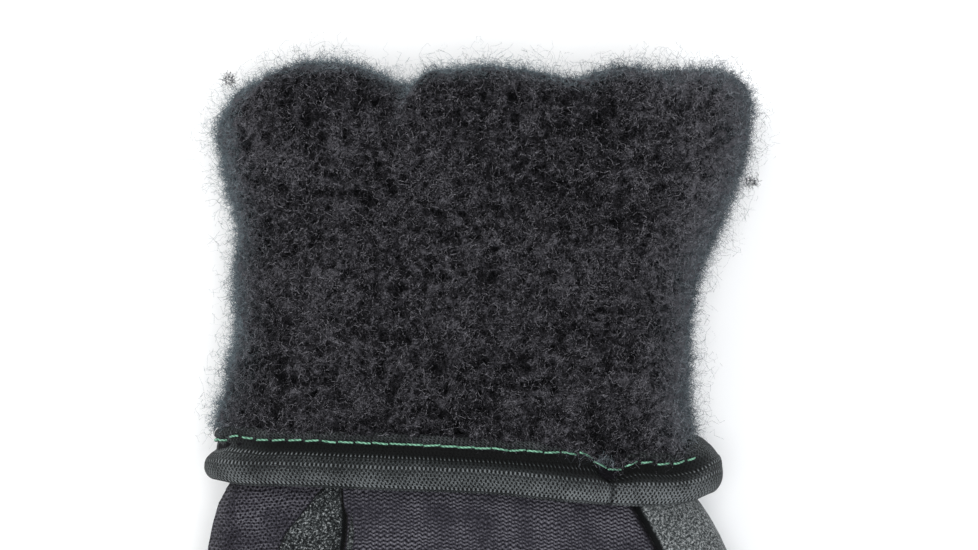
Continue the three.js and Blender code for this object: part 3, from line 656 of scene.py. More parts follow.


# Synthetic leather: a microfibre felt bound with polyurethane, sanded to a short nap. The sanding
# leaves a grit of pale fibre ends over a darker slate ground. By the cuff the nap is roughed up beside
# the thumb and lies smooth on the other side, and its colour there carries painted shade beside the
# thumb and painted light on the other side. It is even over the fingers.
LEATHER_DEEP = 0x0D0F10
LEATHER_MEAN = 0x3E4243
LEATHER_NAP = 0x9DA1A2
NAP_GRIT = 0.42  # mm
NAP_STROKE = 14  # mm, a stroke of the nap
NAP_ROUGH_SHADED_X = -30
NAP_SMOOTH_LIT_X = 40
NAP_EVEN_Y = -100
NAP_VARIED_Y = -58
NAP_EVEN = 0.6  # how smooth it is over the fingers


def synthetic_leather():
    material, tree = new_material("sanded_synthetic_leather")
    place = add(tree, "ShaderNodeTexCoord").outputs["Object"]
    parts = add(tree, "ShaderNodeSeparateXYZ", {"Vector": place})
    grain = {"Vector": place, "Scale": 1 / (NAP_GRIT * MM), "Detail": 3.0, "Roughness": 0.8}
    grit = add(tree, "ShaderNodeTexNoise", grain)
    broad = {"Vector": place, "Scale": 1 / (NAP_STROKE * MM), "Detail": 2.0}
    stroke = add(tree, "ShaderNodeTexNoise", broad)
    span = {
        "Value": parts.outputs["X"],
        "From Min": NAP_ROUGH_SHADED_X * MM,
        "From Max": NAP_SMOOTH_LIT_X * MM,
    }
    across = add(tree, "ShaderNodeMapRange", span)
    span = {
        "Value": parts.outputs["Y"],
        "From Min": NAP_EVEN_Y * MM,
        "From Max": NAP_VARIED_Y * MM,
    }
    varied = add(tree, "ShaderNodeMapRange", span)
    flat = add(tree, "ShaderNodeMix", {0: varied, 2: NAP_EVEN, 3: across})
    # painted shade beside the thumb and painted light on the other side, by the cuff
    lift = add(tree, "ShaderNodeMapRange", {"Value": flat, "To Min": -0.12, "To Max": 0.045})
    rough = add(tree, "ShaderNodeMapRange", {"Value": flat, "To Min": 1.5, "To Max": 1.0})
    even = add(tree, "ShaderNodeMath", {0: grit, 1: 0.5}, operation="SUBTRACT")
    nap = add(tree, "ShaderNodeMath", {0: even, 1: rough, 2: lift}, operation="MULTIPLY_ADD")
    stroked = add(tree, "ShaderNodeMath", {0: stroke, 1: 0.2, 2: nap}, operation="MULTIPLY_ADD")
    tone = add(tree, "ShaderNodeMath", {0: stroked, 1: 0.4}, operation="ADD")
    steps = [(0.34, LEATHER_DEEP), (0.5, LEATHER_MEAN), (0.68, LEATHER_NAP)]
    shader = {
        "Base Color": add(tree, "ShaderNodeValToRGB", {"Fac": in_seams(tree, tone)}, ramp=steps),
        "Roughness": 0.85,
        "IOR": 1.5,
        "Specular IOR Level": 0.1,
        "Sheen Weight": 0.05,
        "Sheen Roughness": 0.4,
    }
    return finish_material(material, tree, shader, grit, 0.12 * MM)


# Bonded nylon thread, twisted from three plies, pale green. Its twist shows as slanting lines.
THREAD_DEEP = 0x345E4A
THREAD_LIGHT = 0x86BEA2
THREAD_LAY = 0.8  # mm from one ply to the next
THREAD_SLANT = 1.6  # how steeply the plies run
THREAD_FUZZ = 0.5  # mm


def green_thread():
    material, tree = new_material("green_nylon_thread")
    place = add(tree, "ShaderNodeTexCoord").outputs["Object"]
    parts = add(tree, "ShaderNodeSeparateXYZ", {"Vector": place})
    across, up = parts.outputs["X"], parts.outputs["Y"]
    slant = add(tree, "ShaderNodeMath", {0: up, 1: THREAD_SLANT, 2: across}, operation="MULTIPLY_ADD")
    often = FULL_TURN / (THREAD_LAY * MM)
    turn = add(tree, "ShaderNodeMath", {0: slant, 1: often}, operation="MULTIPLY")
    ply = add(tree, "ShaderNodeMath", {0: turn}, operation="SINE")
    grain = {"Vector": place, "Scale": 1 / (THREAD_FUZZ * MM), "Detail": 2.0}
    fuzz = add(tree, "ShaderNodeTexNoise", grain)
    height = add(tree, "ShaderNodeMath", {0: ply, 1: 0.22, 2: fuzz}, operation="MULTIPLY_ADD")
    steps = [(0.2, THREAD_DEEP), (0.75, THREAD_LIGHT)]
    shader = {
        "Base Color": add(tree, "ShaderNodeValToRGB", {"Fac": height}, ramp=steps),
        "Roughness": 0.5,
        "IOR": 1.53,
        "Specular IOR Level": 0.4,
    }
    return finish_material(material, tree, shader, height, 0.06 * MM)


# White photographer's paper: matt, with no pattern to be seen at this distance.
PAPER_WHITE = 0xFDFEFF


def ground_sheet():
    material, tree = new_material("white_paper")
    shader = {
        "Base Color": linear(PAPER_WHITE),
        "Roughness": 0.9,
        "IOR": 1.5,
        "Specular IOR Level": 0.1,
    }
    return finish_material(material, tree, shader)


# The cuff's shape, shared by its layers. An angle of 0 is the +X side, a quarter turn the top.
LOBE_FOOT_Y = 6  # the lobes swell up from here
LOBE_FULL_Y = 34  # and are full from here
LIFTED_Y = -34  # up to here the cuff lies on the hand
GROUNDED_Y = -24  # and from here its layers lie on the ground, one on the other


def crosswise(angle):
    return power(np.cos(angle), CUFF_POWER)


def nominal_x(angle):
    return mix(CUFF_LEFT, CUFF_RIGHT, (crosswise(angle) + 1) / 2)


def cuff_point(angle, y, depth):
    left = follow(CUFF_OUTLINE, "y", "left", y)
    right = follow(CUFF_OUTLINE, "y", "right", y)
    half = follow(CUFF_OUTLINE, "y", "half", y)
    middle = (left + right) / 2
    reach = (right - left) / 2 - PILE_OUT
    x = middle + reach * crosswise(angle)
    lobe = (follow(FOLD_LINE, "x", "y", x) - LOBE_MIDDLE) / 2
    full = smooth(LOBE_FOOT_Y, LOBE_FULL_Y, y)
    swell = lobe * LOBE_RISE * full * np.maximum(0, depth) / PILE_OUT
    t = depth + swell
    z = CUFF_MIDDLE + (half - PILE_OUT + t) * power(np.sin(angle), CUFF_POWER)
    floor = (PILE_OUT - depth) * smooth(LIFTED_Y, GROUNDED_Y, y)
    x = middle + (reach + t) * crosswise(angle)
    return np.stack([x, np.broadcast_to(y, x.shape), np.maximum(z, floor)], axis=-1)


RING_POINTS = 7201  # round the cuff, to measure it


def even_angles(step_above, step_below, depth):
    """Angles whose points lie this far apart on the cuff's upper and lower sides."""
    fine = np.linspace(0, FULL_TURN, RING_POINTS)
    ring = cuff_point(fine, np.zeros_like(fine), np.full_like(fine, depth))
    length = np.linalg.norm(np.diff(ring, axis=0), axis=1)
    above = np.sin((fine[1:] + fine[:-1]) / 2) > -0.25
    weight = np.concatenate([[0], np.cumsum(length / np.where(above, step_above, step_below))])
    count = int(round(weight[-1]))
    return np.interp(np.arange(count) / count * weight[-1], weight, fine)


def upper_side(angle):
    """1 on the cuff's upper side and 0 on its lower one, with a soft change between."""
    return smooth(0.1, 0.4, np.sin(angle))


def stitch_height(angle):
    """The line of stitches: the drawn one on the upper side and the plain one on the lower."""
    x = nominal_x(angle)
    above = follow(STITCH_LINE, "x", "y", x)
    below = follow(HEM_LINE, "x", "y", x)
    return mix(below, above, upper_side(angle))


PUCKER_WIDE = 2.0
CREASE_TOP_X = 27.4
CREASE_FOOT_X = 28.2
CREASE_WIDE = 0.45


def seam_dip(angle):
    """1 where the binding's ends meet on the upper side, fading over a few millimetres."""
    x = nominal_x(angle)
    return np.where(np.sin(angle) > 0, np.exp(-(((x - PUCKER_X) / PUCKER_WIDE) ** 2)), 0)


def seam_crease(angle, rise):
    """1 in the crease where the binding's ends are joined, which leans as it goes down."""
    x = nominal_x(angle)
    middle = mix(CREASE_TOP_X, CREASE_FOOT_X, smooth(0, -8, rise))
    return np.where(np.sin(angle) > 0, np.exp(-(((x - middle) / CREASE_WIDE) ** 2)), 0)


# The pile lining.
PILE_STEP = 0.46
PILE_UNDER_STEP = 1.15
PILE_REST = 0.9  # the mat lies this far under the tips of the pile
PILE_EDGE_UNDER = 2.8  # how far from the stitches the pile starts on the lower side
PILE_EDGE_SLOPE = 0.9  # how much further it does at its back
PILE_HEM_ROWS = 5
PILE_OUTER_ROWS = 160
PILE_TURN_ROWS = 40
PILE_INNER_ROWS = 28
PILE_GROUND_ROWS = 8
SWELL_SIZE = 11.0
SWELL_SMALL = 5.0
SWELL_HEIGHT = 0.9
WARP_SIZE = 2.4
WARP_REACH = 1.8
TUFT_SIZE = 2.2
TUFT_HEIGHT = 0.8
CURL_SIZE = 1.1
CURL_HEIGHT = 0.6
GRAIN_SIZE = 0.6
GRAIN_HEIGHT = 0.5
PIT_SIZE = 1.25
PIT_DEPTH = 1.0
PIT_PATCH = 8  # the pits come in patches of this size
MAT_SINK = 0.6  # taken off the whole mat, so that its middle stays on the skin
PILE_PINCH = 1.6  # how deep the pucker pulls the pile in
PILE_LEAST = 0.02  # nothing of it lies lower than this


def pile_rows():
    """The rows of the pile's skin: which leg, how far along it, and its depth."""
    skin = PILE_OUT - PILE_REST
    rows = []
    for f in np.linspace(0, 1, PILE_HEM_ROWS)[:-1]:
        rows.append(("edge", f, mix(PILE_BACK, skin - HEM_DROP, f)))
    for f in np.linspace(0, 1, PILE_OUTER_ROWS):
        rows.append(("outer", f, skin - HEM_DROP * (1 - smooth(0, HEM_TAPER, f))))
    for f in np.linspace(0, 1, PILE_TURN_ROWS)[1:-1]:
        rows.append(("turn", f, skin))
    for f in np.linspace(0, 1, PILE_INNER_ROWS) ** 1.5:
        rows.append(("inner", f, -skin))
    for f in np.linspace(1, 0, PILE_HEM_ROWS):
        rows.append(("inner", f, -PILE_BACK))
    for f in np.linspace(1, 0, PILE_HEM_ROWS)[1:-1]:
        rows.append(("turn", f, PILE_BACK))
    for f in np.linspace(1, 0, PILE_GROUND_ROWS):
        rows.append(("outer", f, PILE_BACK))
    return rows


def pile_grid(angles):
    x = nominal_x(angles)
    fold = follow(FOLD_LINE, "x", "y", x) - PILE_OUT
    above = mix(PILE_EDGE_UNDER, follow(PILE_EDGE, "x", "above", x), upper_side(angles))
    edge = stitch_height(angles) + above
    lines = []
    for leg, f, depth in pile_rows():
        deep = np.full_like(angles, depth)
        if leg == "edge":
            y = edge + PILE_EDGE_SLOPE * (1 - math.sin(f * math.pi / 2))
        elif leg == "outer":
            y = mix(edge, fold, f)
        elif leg == "turn":
            y = fold + abs(depth) * math.sin(f * math.pi)
            deep = deep * math.cos(f * math.pi)
        else:
            y = mix(fold, LINING_END, f)
        lines.append(cuff_point(angles, y, deep))
    return np.array(lines)


def pile_swell(points):
    """The pile's broad unevenness, in millimetres, where it is brushed up or pressed down."""
    broad = cloud(points, SWELL_SIZE, 3) + 0.8 * cloud(points, SWELL_SMALL, 5)
    return SWELL_HEIGHT * (broad - 0.9)


def pile_mat(points):
    """The matted pile's own relief, in millimetres, from tufts, curls and dark pits."""
    warp = np.stack([cloud(points, WARP_SIZE, 40 + k) for k in range(3)], axis=-1) - 0.5
    bent = points + WARP_REACH * warp
    clumps = 1 - np.clip(tufts(bent, TUFT_SIZE, 11), 0, 1) ** 2
    curls = 1 - np.clip(tufts(bent, CURL_SIZE, 23), 0, 1) ** 2
    grain = cloud(points, GRAIN_SIZE, 31) - 0.5
    often = mix(0.4, 1, smooth(0.3, 0.6, cloud(points, PIT_PATCH, 61)))
    pits = smooth(0.42, 0.24, cloud(bent, PIT_SIZE, 57)) * often
    raised = TUFT_HEIGHT * clumps + CURL_HEIGHT * curls + GRAIN_HEIGHT * grain
    return raised - PIT_DEPTH * pits - MAT_SINK


# How pale the pile is painted: its loft, from 0 in its pits to 1, which carries painted shade in the
# pits and creases and painted light on the sides, and its rim, painted pale as a hazy rim highlight.
# painted side light on the pile's left and right
SIDE_LIGHT_LEFT = 0.15
SIDE_LIGHT_RIGHT = 0.26
# the loft is painted shade and light: lowest in the pits, hollows and crease, higher on the sides
LOFT_MEAN = 0.45
LOFT_UNDER = 0.4  # on its underside
LOFT_OF_MAT = 0.5  # how plainly its relief shows in it
LOFT_OF_SWELL = 0.4
LOFT_OF_CREASE = 0.5
# painted light on the rim of the pile's right side
RIGHT_RIM_LIGHT = 0.3
RIM_UP = 0.9  # the rim starts where the skin faces up less than this
RIM_UP_RIGHT = 0.985  # or less than this on the right, where it is broader and fainter
# the painted rim highlight: how fast it comes in, and how pale it makes the rim
RIM_SPAN = 0.7
RIM_LIGHT = 1.15
RIM_LIGHT_RIGHT = 0.7


def pile_side_light(points):
    """Painted light: how much paler the pile is painted towards its left and right sides."""
    left = smooth(-30, -44, points[:, 0]) * smooth(-22, 8, points[:, 1])
    right = smooth(24, 46, points[:, 0])
    return SIDE_LIGHT_LEFT * left + SIDE_LIGHT_RIGHT * right


def pile_crease(x, y, angles):
    """1 in the crease that the pucker makes in the pile beside it."""
    near = np.exp(-(((x - PUCKER_X + 1.0) / 1.1) ** 2))
    return seam_dip(angles) * smooth(-20, -27, y) * near


def shade_pile(piece, points, up, relief):
    """Keeps the pile's painted shade and light at each point: its loft, and how near its rim it is, for
    the painted rim highlight.
    """
    toward_right = smooth(10, 46, points[:, 0])
    level = np.clip((mix(RIM_UP, RIM_UP_RIGHT, toward_right) - up) / RIM_SPAN, 0, 1)
    edge = level * level * (3 - 2 * level)
    side_light = pile_side_light(points) + RIGHT_RIM_LIGHT * toward_right * edge
    shown = np.clip(LOFT_MEAN + relief + side_light, 0, 1)
    store(piece, "tone_and_shade", mix(LOFT_UNDER, shown, smooth(-0.7, 0, up)))
    store(piece, "rim", mix(RIM_LIGHT, RIM_LIGHT_RIGHT, toward_right) * edge * smooth(-0.8, 0, up))


def pile_lining(material):
    angles = even_angles(PILE_STEP, PILE_UNDER_STEP, PILE_OUT)
    grid = pile_grid(angles)
    normals = grid_normals(grid)
    rows = pile_rows()
    hairy = np.array([0 if abs(depth) == PILE_BACK else 1 for _, _, depth in rows], float)
    points = grid.reshape(-1, 3)
    hairy = np.repeat(hairy, len(angles))
    mat = pile_mat(points) * hairy
    swell = pile_swell(points) * hairy
    around = np.tile(angles, len(rows))
    crease = pile_crease(nominal_x(around), points[:, 1], around) * hairy
    points = points + normals.reshape(-1, 3) * (mat + swell - PILE_PINCH * crease)[:, None]
    points[:, 2] = np.maximum(points[:, 2], PILE_LEAST)
    faces = grid_faces(len(rows), len(angles))
    if points_in(points, faces):
        faces = faces[:, ::-1]
    piece = make_piece("pile_lining_fleece", points, faces.tolist(), material)
    up = normals.reshape(-1, 3)[:, 2]
    # painted shade in the pile's pits, its hollows and the pucker's crease
    relief = LOFT_OF_MAT * (mat + LOFT_OF_SWELL * swell) - LOFT_OF_CREASE * crease
    shade_pile(piece, points, up, relief)
    return piece


# The binding.
TAPE_STEP = 0.56
TAPE_ROWS = 66
TAPE_RIBS = named("rise tall", [  # rows of taller loops, from the stitches down
    (-2.5, 0.9), (-4.3, 0.5), (-8.0, 0.6),
])
# The painted shade on the tape outside: deep under the stitches as far as the rise where it fades and
# is gone, softer over the hollow below them, and none or less than none on the roll at its foot, where
# less than none is painted light.
TAPE_GROOVE = named("x deep fades gone soft roll", [
    (-47, 0.0, -1.0, -2.4, 0.05, 0.05),
    (-42, 0.5, -1.0, -2.6, 0.2, 0.04),
    (-36, 1.1, -1.1, -3.0, 0.36, 0.12),
    (-20, 1.1, -1.2, -3.4, 0.32, 0.1),
    (-4, 1.15, -1.5, -3.8, 0.32, 0.05),
    (12, 1.2, -2.1, -4.4, 0.28, 0.0),
    (24, 1.2, -2.5, -5.0, 0.28, -0.08),
    (34, 1.1, -1.8, -4.6, 0.33, -0.26),
    (43, 0.9, -1.6, -4.2, 0.22, -0.26),
    (48, 0.4, -1.0, -3.4, 0.1, -0.16),
])
TAPE_DARKEST = 1.4  # the groove gets no darker than this
TAPE_RIB_WIDE = 0.35
# painted shade above the stitches and in the seam's crease, and a painted highlight on the roll
TAPE_FLANGE = 0.3  # how much darker the tape is above the stitches, in the pile's shade
TAPE_LIP = 0.2  # and how much paler on its roll
TAPE_LIP_RISE = -7.1
TAPE_LIP_WIDE = 0.8
TAPE_CREASE = 0.6  # how much darker in the crease of its seam
TAPE_DIP = 0.9  # how far the pucker pulls the tape in
TAPE_BULGE = 3.7  # the depth that it bulges to at the right end of the cuff


def binding_section():
    """The depth and the rise of each row of the binding, round its closed section."""
    place = np.arange(TAPE_ROWS) / TAPE_ROWS * len(BINDING_SECTION) + 1
    closed = BINDING_SECTION[-1:] + BINDING_SECTION + BINDING_SECTION[:2]
    return bend(column(closed, "depth"), place), bend(column(closed, "rise"), place)


def outer_face(depths):
    """1 on the tape's outer face and 0 behind it."""
    return smooth(1.2, 1.8, depths)


def binding_grid(angles):
    x = nominal_x(angles)
    share = follow(DROP_SHARES, "x", "share", x)
    hem = follow(HEM_LINE, "x", "y", x)
    stitches = stitch_height(angles)
    dip = seam_dip(angles)
    end = np.where(np.sin(angles) > -0.3, smooth(0.86, 0.98, crosswise(angles)), 0)
    lines = []
    for depth, rise in zip(*binding_section()):
        top = smooth(-5.5, -0.5, rise)
        y = mix(hem, stitches, top) + rise * mix(share, 1, smooth(-3, 0, rise))
        outside = smooth(0.8, 2.2, depth)
        crease = seam_crease(angles, rise)
        sunk = depth - outside * (TAPE_DIP * dip * smooth(-6, -1, rise) + crease)
        full = mix(sunk, TAPE_BULGE, end * outside * smooth(-5, -3, rise) * smooth(2.4, 1.2, rise))
        lines.append(cuff_point(angles, y, full))
    return np.array(lines)


def binding_painted_shading(angles):
    """The painted shade on the tape at each point: in its groove and its seam's crease, with painted
    light on its roll.
    """
    depths, rises = binding_section()
    outside = outer_face(depths)[:, None]
    rises = rises[:, None]
    x = nominal_x(angles)
    names = ("deep", "fades", "gone", "soft", "roll")
    deep, fades, gone, soft, roll = (follow(TAPE_GROOVE, "x", name, x) for name in names)
    hollow = deep * smooth(gone, fades, rises) + soft * smooth(-6.2, -3.8, rises)
    groove = np.minimum(smooth(0.3, -0.6, rises) * hollow, TAPE_DARKEST)
    lip = np.exp(-(((rises - TAPE_LIP_RISE) / TAPE_LIP_WIDE) ** 2))
    flange = smooth(-0.4, 0.6, rises)
    rolled = roll * smooth(-3.5, -5.0, rises)
    down = (groove + rolled + TAPE_FLANGE * flange - TAPE_LIP * lip) * outside
    crease = np.array([seam_crease(angles, rise) for rise in rises[:, 0]])
    end = smooth(0.9, 0.99, crosswise(angles))
    return down * (1 - end) + TAPE_CREASE * crease


def binding_ribs(angles):
    """How far the tape's loops stand out as a line of dots."""
    depths, rises = binding_section()
    outside = outer_face(depths)
    ribs = sum(r["tall"] * np.exp(-(((rises - r["rise"]) / TAPE_RIB_WIDE) ** 2)) for r in TAPE_RIBS)
    return np.broadcast_to((ribs * outside)[:, None], (len(rises), len(angles)))


def weave_places(grid):
    """Where each corner of the tape's faces lies in its weave, in mm along it and across it."""
    rows, columns = grid.shape[:2]
    around = np.linalg.norm(np.roll(grid, -1, axis=1) - grid, axis=-1).mean(axis=0)
    along = np.linalg.norm(np.roll(grid, -1, axis=0) - grid, axis=-1).mean(axis=1)
    u = np.concatenate([[0], np.cumsum(around)])
    v = np.concatenate([[0], np.cumsum(along)])
    u *= round(u[-1] / TAPE_WALE) * TAPE_WALE / u[-1]
    j, i = np.meshgrid(np.arange(rows), np.arange(columns), indexing="ij")
    corners = [(j, i), (j, i + 1), (j + 1, i + 1), (j + 1, i)]
    return [np.stack([u[b], v[a]], axis=-1) for a, b in corners]


def edge_binding(material):
    angles = even_angles(TAPE_STEP, TAPE_STEP * 1.6, TAPE_OUT)
    grid = binding_grid(angles)
    faces = grid_faces(*grid.shape[:2])
    points = grid.reshape(-1, 3)
    places = weave_places(grid)
    if points_in(points, faces):
        faces = faces[:, ::-1]
        places = places[::-1]
    piece = make_piece("edge_binding_tape", points, faces.tolist(), material)
    layer = piece.data.uv_layers.new(name="weave")
    layer.data.foreach_set("uv", np.stack(places, axis=2).reshape(-1).astype(np.float32))
    store(piece, "painted_shading", binding_painted_shading(angles).reshape(-1))
    store(piece, "rib", binding_ribs(angles).reshape(-1))
    return piece


# The hand's skin is made whole, then cut into its panels along the seams.
SKIN_CELL = 1.85  # the size of the cells that the skin is made from
SLIM = 1.4  # the skin is made this much slimmer and swollen again, which keeps the fingers apart
SMOOTH_TURNS = 5
HAND_SIDES = 72
HAND_STEPS = 60
DIGIT_SIDES = 36
DIGIT_STEPS = 26
TIP_STEPS = 9
TIP_POWER = 0.8  # how bluntly a finger's tip closes
TIP_LEAST = 0.06  # the share of its width at which it ends
LINE_POINTS = 400  # along a finger's middle line, to measure it


def tube_solid(rings):
    """A closed tube from rings of points, with a hub at each end."""
    count, sides = rings.shape[:2]
    points = rings.reshape(-1, 3)
    hubs = np.array([rings[0].mean(axis=0), rings[-1].mean(axis=0)])
    faces = []
    for j in range(count - 1):
        for i in range(sides):
            k = (i + 1) % sides
            faces.append([j * sides + i, j * sides + k, (j + 1) * sides + k, (j + 1) * sides + i])
    for end, hub in ((0, count * sides), (count - 1, count * sides + 1)):
        for i in range(sides):
            k = (i + 1) % sides
            rim = [end * sides + k, end * sides + i]
            faces.append([*(rim if end == 0 else rim[::-1]), hub])
    return np.concatenate([points, hubs]), faces


def hand_rings():
    place = np.linspace(0, len(HAND) - 1, HAND_STEPS)
    y, left, right, z, half = (bend(column(HAND, n), place) for n in HAND[0])
    angle = np.linspace(0, FULL_TURN, HAND_SIDES, endpoint=False)
    across = power(np.cos(angle), HAND_POWER)
    up = power(np.sin(angle), HAND_POWER)
    x = ((left + right) / 2)[:, None] + ((right - left) / 2 - SLIM)[:, None] * across
    height = np.maximum(z[:, None] + (half - SLIM)[:, None] * up, SLIM)
    return np.stack([x, np.broadcast_to(y[:, None], x.shape), height], axis=-1)


def finger_table(finger):
    return [
        {
            "x": mix(finger["root_x"], finger["tip_x"], s["along"] ** FINGER_SPLAY),
            "y": mix(FINGER_ROOT, finger["tip_y"], s["along"]),
            "z": finger["tall"] * s["tall"] / 2 + s["lift"],
            "wide": finger["wide"] * s["wide"],
            "tall": finger["tall"] * s["tall"],
        }
        for s in FINGER_SHAPE
    ]


def digit_rings(table):
    fine = np.linspace(0, len(table) - 1, LINE_POINTS)
    line = np.stack([bend(column(table, n), fine) for n in ("x", "y")], axis=-1)
    run = np.concatenate([[0], np.cumsum(np.linalg.norm(np.diff(line, axis=0), axis=1))])
    straight = run[-1] - TIP_ROUND - SLIM
    turn = np.linspace(0, math.pi / 2, TIP_STEPS + 1)[1:]
    distance = np.concatenate(
        [np.linspace(0, straight, DIGIT_STEPS), straight + TIP_ROUND * np.sin(turn)]
    )
    shrink = np.concatenate([np.ones(DIGIT_STEPS), np.maximum(TIP_LEAST, np.cos(turn) ** TIP_POWER)])
    place = np.interp(distance, run, fine)
    x, y, z, wide, tall = (bend(column(table, n), place) for n in ("x", "y", "z", "wide", "tall"))
    ahead = unit(np.gradient(np.stack([x, y], axis=-1), axis=0))
    angle = np.linspace(0, FULL_TURN, DIGIT_SIDES, endpoint=False)
    across = (wide / 2 - SLIM) * shrink
    up = (tall / 2 - SLIM) * shrink
    sideways = across[:, None] * power(np.cos(angle), HAND_POWER)
    height = z[:, None] + up[:, None] * power(np.sin(angle), HAND_POWER)
    px = x[:, None] - ahead[:, 1:2] * sideways
    py = y[:, None] + ahead[:, 0:1] * sideways
    return np.stack([px, py, np.maximum(height, SLIM)], axis=-1)


def hand_skin():
    """The palm, fingers and thumb as one soft skin."""
    solids = [tube_solid(hand_rings())]
    solids += [tube_solid(digit_rings(t)) for t in [*map(finger_table, FINGERS), THUMB]]
    points = []
    faces = []
    for solid_points, solid_faces in solids:
        faces += [[k + len(points) for k in face] for face in solid_faces]
        points += (solid_points * MM).tolist()
    mesh = bpy.data.meshes.new("hand_skin")
    mesh.from_pydata(points, [], faces)
    skin = new_object("hand_skin", mesh)
    shape = bmesh.new()
    shape.from_mesh(mesh)
    bmesh.ops.recalc_face_normals(shape, faces=shape.faces)
    shape.to_mesh(mesh)
    shape.free()
    remesh = skin.modifiers.new("one_skin", "REMESH")
    remesh.mode = "VOXEL"
    remesh.voxel_size = SKIN_CELL * MM
    soften = skin.modifiers.new("soften", "SMOOTH")
    soften.factor = 0.5
    soften.iterations = SMOOTH_TURNS
    return plain_mesh(skin)


def whole_hand():
    """The hand's outer skin, open at the wrist: its points, each with its normal, and triangles."""
    skin = hand_skin()
    shape = bmesh.new()
    shape.from_mesh(skin.data)
    bmesh.ops.bisect_plane(
        shape,
        geom=[*shape.verts, *shape.edges, *shape.faces],
        plane_co=(0, WRIST * MM, 0),
        plane_no=(0, 1, 0),
        clear_outer=True,
    )
    bmesh.ops.triangulate(shape, faces=shape.faces)
    out_points = np.array([v.co[:] for v in shape.verts]) / MM
    shape.verts.index_update()
    triangles = np.array([[v.index for v in face.verts] for face in shape.faces])
    shape.free()
    bpy.data.objects.remove(skin)
    normals = point_normals(out_points, triangles)
    return np.concatenate([out_points + normals * SLIM, normals], axis=1), triangles


OUTLINE_STEP = 2.0


def dense(outline):
    """A smooth line through an outline's points."""
    points = np.array([[p["x"], p["y"]] for p in outline])
    length = np.linalg.norm(np.diff(points, axis=0), axis=1).sum()
    place = np.linspace(0, len(points) - 1, int(length / OUTLINE_STEP))
    return np.stack([bend(points[:, k], place) for k in range(2)], axis=-1)


def finger_at(finger, share):
    wide = follow(FINGER_SHAPE, "along", "wide", share)
    x = mix(finger["root_x"], finger["tip_x"], share**FINGER_SPLAY)
    return float(x), float(mix(FINGER_ROOT, finger["tip_y"], share)), float(finger["wide"] * wide / 2)


def back_outline():
    """The knitted back's outline: up one side of each finger, round its tip and down the other."""
    middle = []
    for finger in FINGERS:
        length = FINGER_ROOT - finger["tip_y"]
        for share in BACK_SHARES:
            x, y, half = finger_at(finger, share)
            middle.append([x - half + BACK_INSET, y])
        x, y, half = finger_at(finger, 1 - BACK_TIP_INSET / length)
        reach = half - BACK_INSET
        for turn in np.linspace(0, math.pi, BACK_TIP_POINTS):
            rise = reach * BACK_TIP_ROUND * (1 - math.sin(turn))
            middle.append([x - reach * math.cos(turn), y + rise])
        for share in reversed(BACK_SHARES):
            x, y, half = finger_at(finger, share)
            middle.append([x + half - BACK_INSET, y])
    return np.concatenate([dense(BACK_LEFT), middle, dense(BACK_RIGHT)[::-1]])


def closed_outline(edge, corners):
    """A smooth edge, closed by corners that lie outside the hand."""
    outer = np.array([[p["x"], p["y"]] for p in corners])
    return np.concatenate([dense(edge), outer])


def strip_outline(left, right):
    ends = [1 - STRIP_END / (FINGER_ROOT - f["tip_y"]) for f in (left, right)]
    corners = [(left, 0), (left, ends[0]), (right, ends[1]), (right, 0)]
    return np.array([finger_at(f, s)[:2] for f, s in corners])


def distance_to(outline, points):
    """Signed distance from points to a closed outline seen from above, negative inside it."""
    nearest = np.full(len(points), 1e9)
    inside = np.zeros(len(points), bool)
    flat = points[:, :2]
    for a, b in zip(outline, np.roll(outline, -1, axis=0)):
        along = b - a
        f = np.clip(((flat - a) @ along) / max(along @ along, 1e-9), 0, 1)
        nearest = np.minimum(nearest, np.linalg.norm(flat - a - f[:, None] * along, axis=1))
        spans = (a[1] > flat[:, 1]) != (b[1] > flat[:, 1])
        rise = b[1] - a[1] if b[1] != a[1] else 1e-9
        inside ^= spans & (flat[:, 0] < a[0] + (flat[:, 1] - a[1]) * along[0] / rise)
    return np.where(inside, -nearest, nearest)


def below_seam(points, drop=0.0):
    """How far points lie below the side seam, negative above it."""
    return follow(SIDE_SEAM, "y", "z", points[:, 1]) - drop - points[:, 2]


def panel_fields():
    """The panels that are cut out of the skin in turn, each by a distance that is negative in it."""
    back = back_outline()
    thumb = closed_outline(THUMB_INNER, THUMB_OUTER)
    base = closed_outline(THUMB_BASE, THUMB_BASE_OUTER)
    fields = {
        "back_panel": lambda p: np.maximum(distance_to(back, p), below_seam(p)),
        "thumb_back": lambda p: np.maximum(distance_to(thumb, p), below_seam(p)),
    }
    for left, right in zip(FINGERS, FINGERS[1:]):
        block = strip_outline(left, right)
        fields[f"finger_strip_{left['name']}_{right['name']}"] = lambda p, block=block: (
            np.maximum(distance_to(block, p), below_seam(p, PALM_SEAM_DROP))
        )
    fields["thumb_front"] = lambda p: distance_to(base, p)
    return fields


CUT_SNAP = 0.08  # points this near a cut lie beside it, so that no sliver is left


def cut_skin(points, triangles, values):
    """Splits the triangles that a line of value 0 crosses, so that edges lie on it."""
    values = np.where(np.abs(values) < CUT_SNAP, CUT_SNAP, values)
    side = values > 0
    sides = side[triangles].sum(axis=1)
    crossed = (sides > 0) & (sides < 3)
    made = {}
    added = []
    fresh = []

    def middle(a, b):
        key = (min(a, b), max(a, b))
        if key not in made:
            f = values[a] / (values[a] - values[b])
            made[key] = len(points) + len(added)
            added.append(points[a] + f * (points[b] - points[a]))
        return made[key]

    for a, b, c in triangles[crossed]:
        while side[a] == side[b] or side[a] == side[c]:
            a, b, c = b, c, a
        ab = middle(a, b)
        ca = middle(c, a)
        fresh += [[a, ab, ca], [ab, b, c], [ab, c, ca]]
    if added:
        points = np.concatenate([points, added])
        triangles = np.concatenate([triangles[~crossed], fresh])
    return points, triangles


